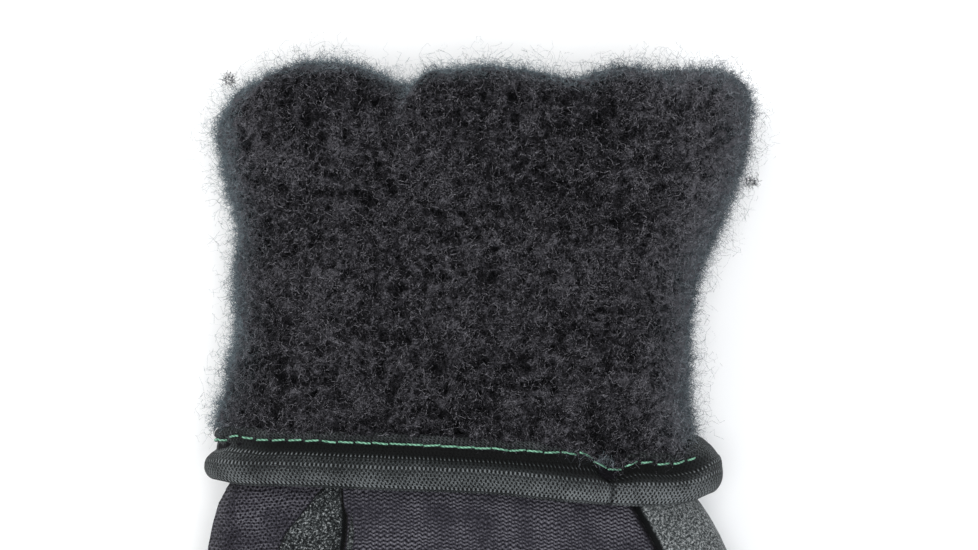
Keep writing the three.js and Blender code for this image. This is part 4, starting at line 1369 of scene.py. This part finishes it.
SEAM_REACH = 12
OUTER_SEAM_X = 15  # the back's seam on the little finger's side lies right of this
OUTER_SEAM_Y = -108  # and up from this
SEAM_DEEP = 1.2
SEAM_SHALLOW = 0.4  # between leather pieces
SEAM_WIDE = 0.8
RIDGE_HIGH = 0.35  # the cloth swells beside a seam
RIDGE_AWAY = 2.6
RIDGE_WIDE = 1.6
BACK_SEAM = 1.7  # the back's other seams are this much narrower than that on the little finger's side
FINE_SEAM = 4.6  # and the seams between leather pieces this much
FLAT_SEAM = 0.8  # beside the wedge at the thumb the two cloths lie flat, with no dark line
SEAM_ROWS = [-1.5, -0.8, -0.35, 0.35, 0.8, 1.5]  # rows of points beside each seam, in mm
SKIN_LEAST = 0.02  # no part of the skin lies lower than this


def point_normals(points, triangles):
    a, b, c = (points[triangles[:, k]] for k in range(3))
    facing = np.cross(b - a, c - a)
    total = np.zeros_like(points)
    for k in range(3):
        np.add.at(total, triangles[:, k], facing)
    return unit(total)


def distance_from(marks, points):
    """Distance from each point to the nearest of the marks, as far as SEAM_REACH."""
    tree = KDTree(len(marks))
    for k, mark in enumerate(marks):
        tree.insert(mark, k)
    tree.balance()
    return np.array([min(tree.find(point)[2], SEAM_REACH) for point in points])


# Folds across each finger, at their shares of its length, and across the palm, which slope.
FINGER_FOLDS = named("along depth wide", [
    (0.34, 0.8, 2.2),
    (0.41, 0.45, 1.6),
    (0.66, 0.7, 2.0),
    (0.72, 0.4, 1.5),
])
FOLD_WANDER = 1.5  # how far the folds across the fingers stray
PALM_FOLDS = named("y slope depth wide", [
    (-78, 0.35, 1.0, 2.2),
    (-92, 0.12, 0.9, 2.2),
])


def wrinkle(points, normals):
    """Soft folds of the skin: across the finger joints, beside the thumb and over the knuckles."""
    x, y = points[:, 0], points[:, 1]
    up = np.clip(normals[:, 2], -1, 1)
    rise = 0.5 * (cloud(points, 17, 71) - 0.5) + 0.35 * (cloud(points, 7, 73) - 0.5)
    for finger in FINGERS:
        mine = np.exp(-(((x - finger_at(finger, 0.5)[0]) / 10) ** 4))
        for fold in FINGER_FOLDS:
            line = mix(FINGER_ROOT, finger["tip_y"], fold["along"])
            line = line + FOLD_WANDER * (cloud(points, 9, 77) - 0.5)
            rise = rise - mine * fold["depth"] * np.exp(-(((y - line) / fold["wide"]) ** 2))
    palm = smooth(0.2, -0.6, up)
    for fold in PALM_FOLDS:
        line = fold["y"] + fold["slope"] * x
        crease = fold["depth"] * np.exp(-(((y - line) / fold["wide"]) ** 2))
        rise = rise - palm * crease * smooth(-44, -30, x)
    drape = np.sin((x * 0.5 + y * 0.16 + 4 * cloud(points, 22, 79)) * 0.5)
    return rise + 0.3 * drape * smooth(-120, -70, y) * smooth(-36, -60, y)


def cut_panels():
    """The hand's points and their normals, and each panel's triangles."""
    points, triangles = whole_hand()
    fields = panel_fields()
    for field in fields.values():
        for row in SEAM_ROWS:
            points, triangles = cut_skin(points, triangles, field(points) - row)
        points, triangles = cut_skin(points, triangles, field(points))
    normals = unit(points[:, 3:])
    points = points[:, :3]
    middles = points[triangles].mean(axis=1)
    left = np.ones(len(triangles), bool)
    owner = {}
    for name, field in fields.items():
        inside = (field(middles) < 0) & left
        left &= ~inside
        owner[name] = triangles[inside]
    owner["palm_panel"] = triangles[left]
    return points, normals, triangles, owner


def seam_fields(points, owner):
    """How far each point is from the seams, counted in their widths, and how deep they are there."""
    count = np.zeros(len(points), int)
    for mine in owner.values():
        count[np.unique(mine)] += 1
    on_back = np.zeros(len(points), bool)
    on_back[np.unique(owner["back_panel"])] = True
    outer_edge = on_back & (points[:, 0] > OUTER_SEAM_X) & (points[:, 1] > OUTER_SEAM_Y)
    shared = count > 1
    wide = distance_from(points[shared & outer_edge], points)
    back = distance_from(points[shared & on_back & ~outer_edge], points)
    fine = distance_from(points[shared & ~on_back], points)
    flat = smooth(-62, -56, points[:, 1]) * (points[:, 0] < 0)
    closed = smooth(-44.6, -42.4, points[:, 1]) * (points[:, 0] < 0)
    fine = np.maximum(FINE_SEAM * fine, FLAT_SEAM * flat)
    seam = np.minimum(np.minimum(wide, BACK_SEAM * back) * mix(1, 4, closed), fine)
    return seam, np.where(seam < fine, SEAM_DEEP, SEAM_SHALLOW)


def hand_panels(knit, thumb_knit, leather):
    points, normals, triangles, owner = cut_panels()
    seam, deep = seam_fields(points, owner)
    groove = deep * np.exp(-((seam / SEAM_WIDE) ** 2))
    ridge = RIDGE_HIGH * np.exp(-(((seam - RIDGE_AWAY) / RIDGE_WIDE) ** 2))
    rise = wrinkle(points, normals) + ridge - groove
    points = points + normals * rise[:, None]
    points[:, 2] = np.maximum(points[:, 2], SKIN_LEAST)
    pieces = {}
    for name, mine in owner.items():
        used, packed = np.unique(mine, return_inverse=True)
        cloth = {"back_panel": knit, "thumb_back": thumb_knit}.get(name, leather)
        packed = packed.reshape(-1, 3)
        pieces[name] = make_panel(name, points[used], normals[used], packed, seam[used], cloth)
    return pieces, BVHTree.FromPolygons(points.tolist(), triangles.tolist())


def rim_faces(triangles, count):
    """Faces that close the edge between an outer skin and its inner copy, `count` points on."""
    edges = np.concatenate([triangles[:, [0, 1]], triangles[:, [1, 2]], triangles[:, [2, 0]]])
    twins = {(b, a) for a, b in edges.tolist()}
    open_edges = [(a, b) for a, b in edges.tolist() if (a, b) not in twins]
    return [[b, a, a + count, b + count] for a, b in open_edges]


SHARP_EDGE = 55  # degrees


def make_panel(name, points, normals, triangles, seam, cloth):
    """A panel of the hand, as thick as its cloth and lining."""
    count = len(points)
    both = np.concatenate([points, points - normals * WALL])
    inner = triangles[:, ::-1] + count
    faces = triangles.tolist() + inner.tolist() + rim_faces(triangles, count)
    piece = make_piece(f"{name}_cloth", both, faces, cloth)
    piece.data.set_sharp_from_angle(angle=math.radians(SHARP_EDGE))
    store(piece, "seam", np.concatenate([seam, seam]))
    return piece


# A narrow tape covers the seam on the thumb's side of the back, beside its groove.
SEAM_TAPE_START = -44.6
SEAM_TAPE_END = -101
SEAM_TAPE_WIDE = 1.15
SEAM_TAPE_THICK = 0.4
SEAM_TAPE_AWAY = 1.2
SEAM_TAPE_ROWS = 110
SEAM_TAPE_SIDES = 10
SEAM_TAPE_POINT = 4.5  # the length of its narrowed end
SEAM_TAPE_TIP = 0.06  # how narrow it gets
SEAM_TAPE_RIBBED = 0.12  # how much its ribs stand out
SEAM_TAPE_RIB = 1.4  # from one rib of its weave to the next


def seam_tape(surface, cloth):
    y = np.linspace(SEAM_TAPE_START, SEAM_TAPE_END, SEAM_TAPE_ROWS)
    middle = follow(BACK_LEFT, "y", "x", y) + SEAM_TAPE_AWAY
    angle = np.linspace(0, FULL_TURN, SEAM_TAPE_SIDES, endpoint=False)
    whole = smooth(0, SEAM_TAPE_POINT, SEAM_TAPE_START - y)
    point = whole * (1 - SEAM_TAPE_TIP) + SEAM_TAPE_TIP
    rings = []
    for place_x, place_y, width in zip(middle, y, point):
        across = place_x + SEAM_TAPE_WIDE / 2 * width * np.cos(angle)
        heights = [surface.ray_cast((x, place_y, 90), (0, 0, -1))[0][2] for x in across]
        ribs = 1 + SEAM_TAPE_RIBBED * math.sin(place_y * FULL_TURN / SEAM_TAPE_RIB)
        height = np.array(heights) + SEAM_TAPE_THICK * ribs * width * np.sin(angle)
        rings.append(np.stack([across, np.full(len(angle), place_y), height], axis=-1))
    points, faces = tube_solid(np.array(rings))
    piece = make_piece("back_seam_tape", points, faces, cloth)
    store(piece, "seam", np.full(len(points), 9.0))
    return piece


# Geometry Nodes trees.
def new_tree(name, *inputs):
    """An empty geometry tree with named inputs, each a name, a socket type and a value."""
    tree = bpy.data.node_groups.new(name, "GeometryNodeTree")
    tree.interface.new_socket("Geometry", in_out="INPUT", socket_type="NodeSocketGeometry")
    tree.interface.new_socket("Geometry", in_out="OUTPUT", socket_type="NodeSocketGeometry")
    for label, kind, value in inputs:
        socket = tree.interface.new_socket(label, in_out="INPUT", socket_type=kind)
        if value is not None:
            socket.default_value = value
    return tree, add(tree, "NodeGroupInput").outputs


def apply_tree(piece, tree, **values):
    """Runs a tree on a piece with these values, and keeps the result as a plain mesh."""
    modifier = piece.modifiers.new(tree.name, "NODES")
    modifier.node_group = tree
    for socket in tree.interface.items_tree:
        key = socket.name.replace(" ", "_")
        if socket.in_out == "INPUT" and key in values:
            modifier[socket.identifier] = values[key]
    piece.update_tag()
    return plain_mesh(piece)


def close_tree(tree, geometry, material):
    solid = add(tree, "GeometryNodeRealizeInstances", {"Geometry": geometry})
    painted = add(tree, "GeometryNodeSetMaterial", {"Geometry": solid, "Material": material})
    add(tree, "NodeGroupOutput", {"Geometry": painted})


STRAND_TURNS = 1.3  # each strand is a loose corkscrew of this many turns
STRAND_CURL = 0.17  # and this wide for its length
STRAND_FLOOR = 0.03  # mm, no strand lies lower than this
STRAND_TAPER = 0.7  # how much narrower its tip is than its root
RIM_FINER = 0.3  # and how much narrower it is at the pile's rim
LEAN_LEAST = 0.6  # each strand leans between these shares of the given angle
LEAN_MOST = 1.12
LENGTH_LEAST = 0.45  # and is between these shares of the given length
LENGTH_MOST = 1.25
KINK_APART = 40.0  # moves each strand to a place of its own in the noise that bends it
KINK_REACH = 4.0


def one_strand(tree, count):
    """A strand one unit tall, wound into a corkscrew that widens from its root."""
    line = add(tree, "GeometryNodeCurvePrimitiveLine", {"Start": (0, 0, 0), "End": (0, 0, 1)})
    strand = add(tree, "GeometryNodeResampleCurve", {"Curve": line, "Count": count}, mode="COUNT")
    share = add(tree, "GeometryNodeSplineParameter").outputs["Factor"]
    turn = add(tree, "ShaderNodeMath", {0: share, 1: FULL_TURN * STRAND_TURNS}, operation="MULTIPLY")
    widening = add(tree, "ShaderNodeMath", {0: share, 1: 0.6}, operation="POWER")
    wide = add(tree, "ShaderNodeMath", {0: widening, 1: STRAND_CURL}, operation="MULTIPLY")
    sine = add(tree, "ShaderNodeMath", {0: turn}, operation="SINE")
    cosine = add(tree, "ShaderNodeMath", {0: turn}, operation="COSINE")
    x = add(tree, "ShaderNodeMath", {0: sine, 1: wide}, operation="MULTIPLY")
    y = add(tree, "ShaderNodeMath", {0: cosine, 1: wide}, operation="MULTIPLY")
    helix = add(tree, "ShaderNodeCombineXYZ", {"X": x, "Y": y})
    return add(tree, "GeometryNodeSetPosition", {"Geometry": strand, "Offset": helix})


def kinked(tree, strands, curl, kink):
    """Bends each strand by a noise of its own, more towards its tip."""
    along = add(tree, "GeometryNodeSplineParameter").outputs["Factor"]
    where = add(tree, "GeometryNodeInputPosition")
    shade = add(tree, "GeometryNodeInputNamedAttribute", {"Name": "shade"}, data_type="FLOAT")
    own = add(tree, "ShaderNodeMath", {0: shade, 1: KINK_APART}, operation="MULTIPLY")
    often = add(tree, "ShaderNodeMath", {0: 1.0, 1: kink}, operation="DIVIDE")
    bends = {"Vector": where, "W": own, "Scale": often, "Detail": 0.0}
    wave = add(tree, "ShaderNodeTexNoise", bends, noise_dimensions="4D").outputs["Color"]
    even = add(tree, "ShaderNodeVectorMath", {0: wave, 1: (0.5, 0.5, 0.5)}, operation="SUBTRACT")
    grown = add(tree, "ShaderNodeMath", {0: along, 1: curl}, operation="MULTIPLY")
    reach = add(tree, "ShaderNodeMath", {0: grown, 1: KINK_REACH}, operation="MULTIPLY")
    offset = add(tree, "ShaderNodeVectorMath", {0: even, "Scale": reach}, operation="SCALE")
    return add(tree, "GeometryNodeSetPosition", {"Geometry": strands, "Offset": offset})


def above_floor(tree, geometry):
    """Lifts what would lie below the floor on to it."""
    where = add(tree, "GeometryNodeInputPosition")
    parts = add(tree, "ShaderNodeSeparateXYZ", {"Vector": where})
    high = {0: parts.outputs["Z"], 1: STRAND_FLOOR * MM}
    height = add(tree, "ShaderNodeMath", high, operation="MAXIMUM")
    place = {"X": parts.outputs["X"], "Y": parts.outputs["Y"], "Z": height}
    lifted = add(tree, "ShaderNodeCombineXYZ", place)
    return add(tree, "GeometryNodeSetPosition", {"Geometry": geometry, "Position": lifted})


def fibre_tree():
    """Curly fibres that grow out of a surface, thick where its attribute "cover" is high."""
    tree, given = new_tree(
        "pile_fibres",
        ("Density", "NodeSocketFloat", 1.0),
        ("Length", "NodeSocketFloat", 4.0 * MM),
        ("Width", "NodeSocketFloat", 0.09 * MM),
        ("Lean", "NodeSocketFloat", 1.0),
        ("Curl", "NodeSocketFloat", 0.6 * MM),
        ("Kink", "NodeSocketFloat", 0.6 * MM),
        ("Points", "NodeSocketInt", 7),
        ("Seed", "NodeSocketInt", 1),
        ("Material", "NodeSocketMaterial", None),
    )
    cover = add(tree, "GeometryNodeInputNamedAttribute", {"Name": "cover"}, data_type="FLOAT")
    thick = add(tree, "ShaderNodeMath", {0: cover, 1: given["Density"]}, operation="MULTIPLY")
    roots = add(
        tree,
        "GeometryNodeDistributePointsOnFaces",
        {"Mesh": given["Geometry"], "Density": thick, "Seed": given["Seed"]},
        distribute_method="RANDOM",
    )
    shade = add(tree, "FunctionNodeRandomValue", {"Seed": 5}, data_type="FLOAT").outputs[1]
    kept = add(
        tree,
        "GeometryNodeStoreNamedAttribute",
        {"Geometry": roots.outputs["Points"], "Name": "shade", "Value": shade},
        data_type="FLOAT",
        domain="POINT",
    )
    strand = one_strand(tree, given["Points"])
    around = {2: 0.0, 3: FULL_TURN, "Seed": 11}
    azimuth = add(tree, "FunctionNodeRandomValue", around, data_type="FLOAT").outputs[1]
    spread = {2: LEAN_LEAST, 3: LEAN_MOST, "Seed": 12}
    lean_share = add(tree, "FunctionNodeRandomValue", spread, data_type="FLOAT").outputs[1]
    lean = add(tree, "ShaderNodeMath", {0: lean_share, 1: given["Lean"]}, operation="MULTIPLY")
    tilt = add(tree, "ShaderNodeCombineXYZ", {"X": lean, "Z": azimuth})
    tilt_turn = add(tree, "FunctionNodeEulerToRotation", {"Euler": tilt})
    turned = add(
        tree,
        "FunctionNodeRotateRotation",
        {"Rotation": roots.outputs["Rotation"], "Rotate By": tilt_turn},
        rotation_space="LOCAL",
    )
    spread = {2: LENGTH_LEAST, 3: LENGTH_MOST, "Seed": 13}
    length_share = add(tree, "FunctionNodeRandomValue", spread, data_type="FLOAT").outputs[1]
    length = add(tree, "ShaderNodeMath", {0: length_share, 1: given["Length"]}, operation="MULTIPLY")
    placed = add(
        tree,
        "GeometryNodeInstanceOnPoints",
        {"Points": kept, "Instance": strand, "Rotation": turned, "Scale": length},
    )
    loose = add(tree, "GeometryNodeRealizeInstances", {"Geometry": placed})
    curled = kinked(tree, loose, given["Curl"], given["Kink"])
    along = add(tree, "GeometryNodeSplineParameter").outputs["Factor"]
    rim = add(tree, "GeometryNodeInputNamedAttribute", {"Name": "rim"}, data_type="FLOAT")
    taper = add(tree, "ShaderNodeMath", {0: along, 1: -STRAND_TAPER, 2: 1.0}, operation="MULTIPLY_ADD")
    fine = add(tree, "ShaderNodeMath", {0: rim, 1: -RIM_FINER, 2: 1.0}, operation="MULTIPLY_ADD")
    radius = add(tree, "ShaderNodeMath", {0: taper, 1: fine}, operation="MULTIPLY")
    thin = add(tree, "GeometryNodeSetCurveRadius", {"Curve": curled, "Radius": radius})
    half = add(tree, "ShaderNodeMath", {0: given["Width"], 1: 0.5}, operation="MULTIPLY")
    minus = add(tree, "ShaderNodeMath", {0: half, 1: -1.0}, operation="MULTIPLY")
    start = add(tree, "ShaderNodeCombineXYZ", {"X": minus})
    end = add(tree, "ShaderNodeCombineXYZ", {"X": half})
    profile = add(tree, "GeometryNodeCurvePrimitiveLine", {"Start": start, "End": end})
    ribbons = add(tree, "GeometryNodeCurveToMesh", {"Curve": thin, "Profile Curve": profile})
    close_tree(tree, above_floor(tree, ribbons), given["Material"])
    return tree


STITCH_POINTS = 11
STITCH_SINK = 2.6  # the ends of a stitch go down by this many times its arch
STITCH_NARROW = 0.45  # and get this much narrower
STITCH_SIDES = 8
STITCH_PITCH = 3.3
STITCH_THREAD = 0.195
STITCH_SHARE = 0.92  # how much of the pitch shows as thread
STITCH_ARCH = 0.25
STITCH_DEPTH = 2.45  # the stitches lie at this depth in the binding's groove
STITCH_DIVE = 0.85  # and this much deeper at the pucker
STITCH_RISE = 0.05


def one_stitch(tree, pitch, share, arch, thread):
    """A length of thread along X, its ends narrowed and drawn down into the cloth."""
    reach = add(tree, "ShaderNodeMath", {0: pitch, 1: share}, operation="MULTIPLY")
    half = add(tree, "ShaderNodeMath", {0: reach, 1: 0.5}, operation="MULTIPLY")
    minus = add(tree, "ShaderNodeMath", {0: half, 1: -1.0}, operation="MULTIPLY")
    start = add(tree, "ShaderNodeCombineXYZ", {"X": minus})
    end = add(tree, "ShaderNodeCombineXYZ", {"X": half})
    line = add(tree, "GeometryNodeCurvePrimitiveLine", {"Start": start, "End": end})
    fine = {"Curve": line, "Count": STITCH_POINTS}
    fine = add(tree, "GeometryNodeResampleCurve", fine, mode="COUNT")
    along = add(tree, "GeometryNodeSplineParameter").outputs["Factor"]
    from_middle = add(tree, "ShaderNodeMath", {0: along, 1: 2.0, 2: -1.0}, operation="MULTIPLY_ADD")
    away = add(tree, "ShaderNodeMath", {0: from_middle}, operation="ABSOLUTE")
    steep = add(tree, "ShaderNodeMath", {0: away, 1: 4.0}, operation="POWER")
    sunk = add(tree, "ShaderNodeMath", {0: steep, 1: -STITCH_SINK, 2: 1.0}, operation="MULTIPLY_ADD")
    height = add(tree, "ShaderNodeMath", {0: sunk, 1: arch}, operation="MULTIPLY")
    offset = add(tree, "ShaderNodeCombineXYZ", {"Z": height})
    arched = add(tree, "GeometryNodeSetPosition", {"Geometry": fine, "Offset": offset})
    narrow = {0: steep, 1: -STITCH_NARROW, 2: 1.0}
    narrow = add(tree, "ShaderNodeMath", narrow, operation="MULTIPLY_ADD")
    thin = add(tree, "GeometryNodeSetCurveRadius", {"Curve": arched, "Radius": narrow})
    ring = {"Resolution": STITCH_SIDES, "Radius": thread}
    ring = add(tree, "GeometryNodeCurvePrimitiveCircle", ring)
    return add(
        tree,
        "GeometryNodeCurveToMesh",
        {"Curve": thin, "Profile Curve": ring, "Fill Caps": True},
    )


def stitch_tree():
    """Thread laid in stitches along a line, each standing a little out of the cloth."""
    tree, given = new_tree(
        "lockstitches",
        ("Pitch", "NodeSocketFloat", STITCH_PITCH * MM),
        ("Thread", "NodeSocketFloat", STITCH_THREAD * MM),
        ("Share", "NodeSocketFloat", STITCH_SHARE),
        ("Arch", "NodeSocketFloat", STITCH_ARCH * MM),
        ("Material", "NodeSocketMaterial", None),
    )
    path = add(tree, "GeometryNodeMeshToCurve", {"Mesh": given["Geometry"]})
    steps = {"Curve": path, "Length": given["Pitch"]}
    steps = add(tree, "GeometryNodeResampleCurve", steps, mode="LENGTH")
    out = add(tree, "GeometryNodeInputNamedAttribute", {"Name": "out"}, data_type="FLOAT_VECTOR")
    tangent = add(tree, "GeometryNodeInputTangent")
    first = add(tree, "FunctionNodeAlignRotationToVector", {"Vector": out}, axis="Z")
    facing = add(
        tree,
        "FunctionNodeAlignRotationToVector",
        {"Rotation": first, "Vector": tangent},
        axis="X",
        pivot_axis="Z",
    )
    sway = add(
        tree,
        "FunctionNodeRandomValue",
        {0: (-0.04, -0.05, -0.13), 1: (0.04, 0.05, 0.13), "Seed": 4},
        data_type="FLOAT_VECTOR",
    ).outputs[0]
    sway_turn = add(tree, "FunctionNodeEulerToRotation", {"Euler": sway})
    laid = add(
        tree,
        "FunctionNodeRotateRotation",
        {"Rotation": facing, "Rotate By": sway_turn},
        rotation_space="LOCAL",
    )
    thread = one_stitch(tree, given["Pitch"], given["Share"], given["Arch"], given["Thread"])
    placed = add(
        tree,
        "GeometryNodeInstanceOnPoints",
        {"Points": steps, "Instance": thread, "Rotation": laid},
    )
    close_tree(tree, placed, given["Material"])
    return tree


def binding_stitches(tree, material):
    """The lockstitches round the binding, in its groove."""
    angles = even_angles(1.0, 1.0, TAPE_OUT)
    heights = stitch_height(angles) + STITCH_RISE
    line = cuff_point(angles, heights, STITCH_DEPTH - STITCH_DIVE * seam_dip(angles))
    core = cuff_point(angles, heights, np.zeros_like(angles))
    out = unit(line - core)
    name = "binding_lockstitches"
    mesh = bpy.data.meshes.new(name)
    count = len(angles)
    mesh.from_pydata((line * MM).tolist(), [[i, (i + 1) % count] for i in range(count)], [])
    layer = mesh.attributes.new("out", "FLOAT_VECTOR", "POINT")
    layer.data.foreach_set("vector", out.astype(np.float32).reshape(-1))
    piece = new_object(name, mesh)
    apply_tree(piece, tree, Material=material)
    piece.data.polygons.foreach_set("use_smooth", np.ones(len(piece.data.polygons), bool))
    return piece


# The layers of fibres, from the matted ones to the stray ones: fibres on each square millimetre,
# their sizes in mm, their lean in radians and the points along each.
FIBRE_LAYERS = named("name where density length width lean curl kink points", [
    ("pile_fibres_matted", "all", 1.1, 1.6, 0.075, 1.35, 0.5, 0.6, 6),
    ("pile_fibres_kinked", "all", 1.1, 2.0, 0.065, 1.3, 0.6, 0.6, 6),
    ("pile_fibres_curled", "all", 0.42, 2.9, 0.045, 1.2, 0.85, 0.7, 8),
    ("pile_fibres_haze", "rim", 1.4, 2.7, 0.034, 1.1, 0.9, 0.8, 7),
    ("pile_fibres_loose", "rim", 0.4, 5.6, 0.035, 1.0, 1.5, 1.5, 14),
])


FIRST_LAYER_SEED = 21


def row_cover(leg, f, depth):
    """How hairy a row of the pile's skin is: bare at its back, thinner down in the mouth."""
    if abs(depth) == PILE_BACK:
        return 0
    if leg == "inner":
        return mix(0.5, 0.0, float(smooth(0.0, 0.5, f)))
    return 1


def pile_cover(pile, where):
    """How thickly the fibres grow at each point of the pile."""
    count = len(pile.data.vertices)
    points = np.empty(count * 3, np.float32)
    pile.data.vertices.foreach_get("co", points)
    points = points.reshape(-1, 3) / MM
    normals = np.empty(count * 3, np.float32)
    pile.data.vertex_normals.foreach_get("vector", normals)
    up = normals.reshape(-1, 3)[:, 2]
    rows = len(pile_rows())
    hairy = np.array([row_cover(*row) for row in pile_rows()])
    hairy = np.repeat(hairy, count // rows)
    height = points[:, 2]
    if where == "rim":
        side = 1 - np.abs(up)
        return hairy * smooth(0.3, 0.9, side) * smooth(4, 10, height)
    above = smooth(-0.6, -0.1, up)
    tone_and_shade = np.empty(count, np.float32)
    pile.data.attributes["tone_and_shade"].data.foreach_get("value", tone_and_shade)
    full = mix(0.35, 1.25, smooth(0.2, 0.55, tone_and_shade))
    return hairy * full * mix(0.12, 1.0, above) * smooth(0.4, 1.5, height)


# Balls where wisps of pile have rubbed off and cling to the rest, the last two at the tape's seam.
LINT = named("x y z size pale", [
    (-45.6, 36.9, 24.0, 0.7, 0.2),
    (52.9, 17.4, 23.0, 0.55, 0.2),
    (54.2, 17.6, 23.0, 0.35, 0.2),
    (24.6, -34.6, 34.2, 0.5, 1.0),
    (26.6, -35.4, 34.0, 0.4, 0.9),
])
LINT_FIBRES = {
    "density": 16,
    "length": 1.2,
    "width": 0.055,
    "lean": 1.2,
    "curl": 0.6,
    "kink": 0.6,
    "points": 7,
}
LINT_SEED = 31


def lint_scalp():
    """The small balls that the wisps grow from."""
    balls = bmesh.new()
    pale = []
    for ball in LINT:
        place = Matrix.Translation(Vector((ball["x"], ball["y"], ball["z"])) * MM)
        bmesh.ops.create_icosphere(balls, subdivisions=2, radius=ball["size"] * MM, matrix=place)
        pale += [ball["pale"]] * (len(balls.verts) - len(pale))
    mesh = bpy.data.meshes.new("pile_lint")
    balls.to_mesh(mesh)
    balls.free()
    scalp = new_object("pile_lint", mesh)
    store(scalp, "cover", np.ones(len(mesh.vertices)))
    store(scalp, "tone_and_shade", pale)
    store(scalp, "rim", np.array(pale) * 0.7)
    return scalp


def grow(piece, tree, fibres, seed, material):
    """Grows fibres out of a piece, which then is the fibres alone."""
    return apply_tree(
        piece,
        tree,
        Density=fibres["density"] / MM**2,
        Length=fibres["length"] * MM,
        Width=fibres["width"] * MM,
        Lean=fibres["lean"],
        Curl=fibres["curl"] * MM,
        Kink=fibres["kink"] * MM,
        Points=fibres["points"],
        Seed=seed,
        Material=material,
    )


def pile_fibres(pile, tree, material):
    pieces = []
    for seed, layer in enumerate(FIBRE_LAYERS, FIRST_LAYER_SEED):
        piece = new_object(layer["name"], pile.data.copy())
        store(piece, "cover", pile_cover(pile, layer["where"]))
        pieces.append(grow(piece, tree, layer, seed, material))
    pieces.append(grow(lint_scalp(), tree, LINT_FIBRES, LINT_SEED, material))
    return pieces


# The stage: a white ground, soft light from above and from two sides, and the camera.
CAMERA_X = 3.58
CAMERA_HEIGHT = 1400
VIEW_WIDE = 184.5
VIEW_LEVEL = 28  # the height at which the view is that wide
SENSOR = 36
GROUND_REACH = 3.0  # m
SKY = 0xFFFFFF
SKY_STRENGTH = 0.6
LIGHTS = named("name place size power colour", [  # places and sizes in metres, and watts
    ("overhead", (0.1, -0.1, 2.2), 1.1, 24, 0xFFFFFF),
    ("key", (-1.5, 0.9, 1.5), 0.7, 24, 0xFFFFFF),
    ("fill", (1.4, -1.0, 1.5), 0.9, 13, 0xF4F8FF),
])
LIGHTS_AIM = (0, -0.05, 0.02)


def stage():
    ground = bpy.data.meshes.new("ground")
    signs = ((-1, -1), (1, -1), (1, 1), (-1, 1))
    corners = [(x * GROUND_REACH, y * GROUND_REACH, 0) for x, y in signs]
    ground.from_pydata(corners, [], [(0, 1, 2, 3)])
    ground.materials.append(ground_sheet())
    floor = new_object("ground", ground)


def soft_light(row):
    data = bpy.data.lights.new(row["name"], "AREA")
    data.shape = "SQUARE"
    data.size = row["size"]
    data.energy = row["power"]
    data.color = linear(row["colour"])[:3]
    lamp = new_object(row["name"], data)
    lamp.location = row["place"]
    aim = Vector(LIGHTS_AIM) - Vector(row["place"])
    lamp.rotation_mode = "QUATERNION"
    lamp.rotation_quaternion = aim.to_track_quat("-Z", "Y")


def camera():
    data = bpy.data.cameras.new("camera")
    data.sensor_width = SENSOR
    data.lens = SENSOR * (CAMERA_HEIGHT - VIEW_LEVEL) / VIEW_WIDE
    data.clip_end = 100
    eye = new_object("camera", data)
    eye.location = (CAMERA_X * MM, 0, CAMERA_HEIGHT * MM)
    bpy.context.scene.camera = eye


def light():
    world = bpy.data.worlds.new("white_room")
    world.use_nodes = True
    sky = world.node_tree.nodes["Background"]
    sky.inputs["Color"].default_value = linear(SKY)
    sky.inputs["Strength"].default_value = SKY_STRENGTH
    bpy.context.scene.world = world
    for row in LIGHTS:
        soft_light(row)
    bpy.context.scene.view_settings.view_transform = "Standard"


def clear_defaults():
    for name in ("Cube", "Light", "Camera"):
        if name in bpy.data.objects:
            bpy.data.objects.remove(bpy.data.objects[name])


def main():
    clear_defaults()
    camera()
    light()
    stage()
    fleece = pile_fleece()
    fibre = loose_fibre()
    tape = elastic_tape()
    knit = stretch_jersey(KNITS["back"])
    thumb_knit = stretch_jersey(KNITS["thumb"])
    leather = synthetic_leather()
    thread = green_thread()

    pile = pile_lining(fleece)
    strands = fibre_tree()
    fibres = pile_fibres(pile, strands, fibre)
    binding = edge_binding(tape)
    stitches = binding_stitches(stitch_tree(), thread)
    panels, surface = hand_panels(knit, thumb_knit, leather)
    tape_on_seam = seam_tape(surface, leather)

    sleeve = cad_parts["cuff_sleeve"]
    sleeve.data.materials.clear()
    sleeve.data.materials.append(knit)

    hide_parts("pile_lining")
    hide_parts("edge_binding")
    for node, piece in panels.items():
        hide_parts(node)
    for piece in [pile, *fibres, binding, stitches, tape_on_seam, *panels.values()]:
        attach(piece, "root")


main()
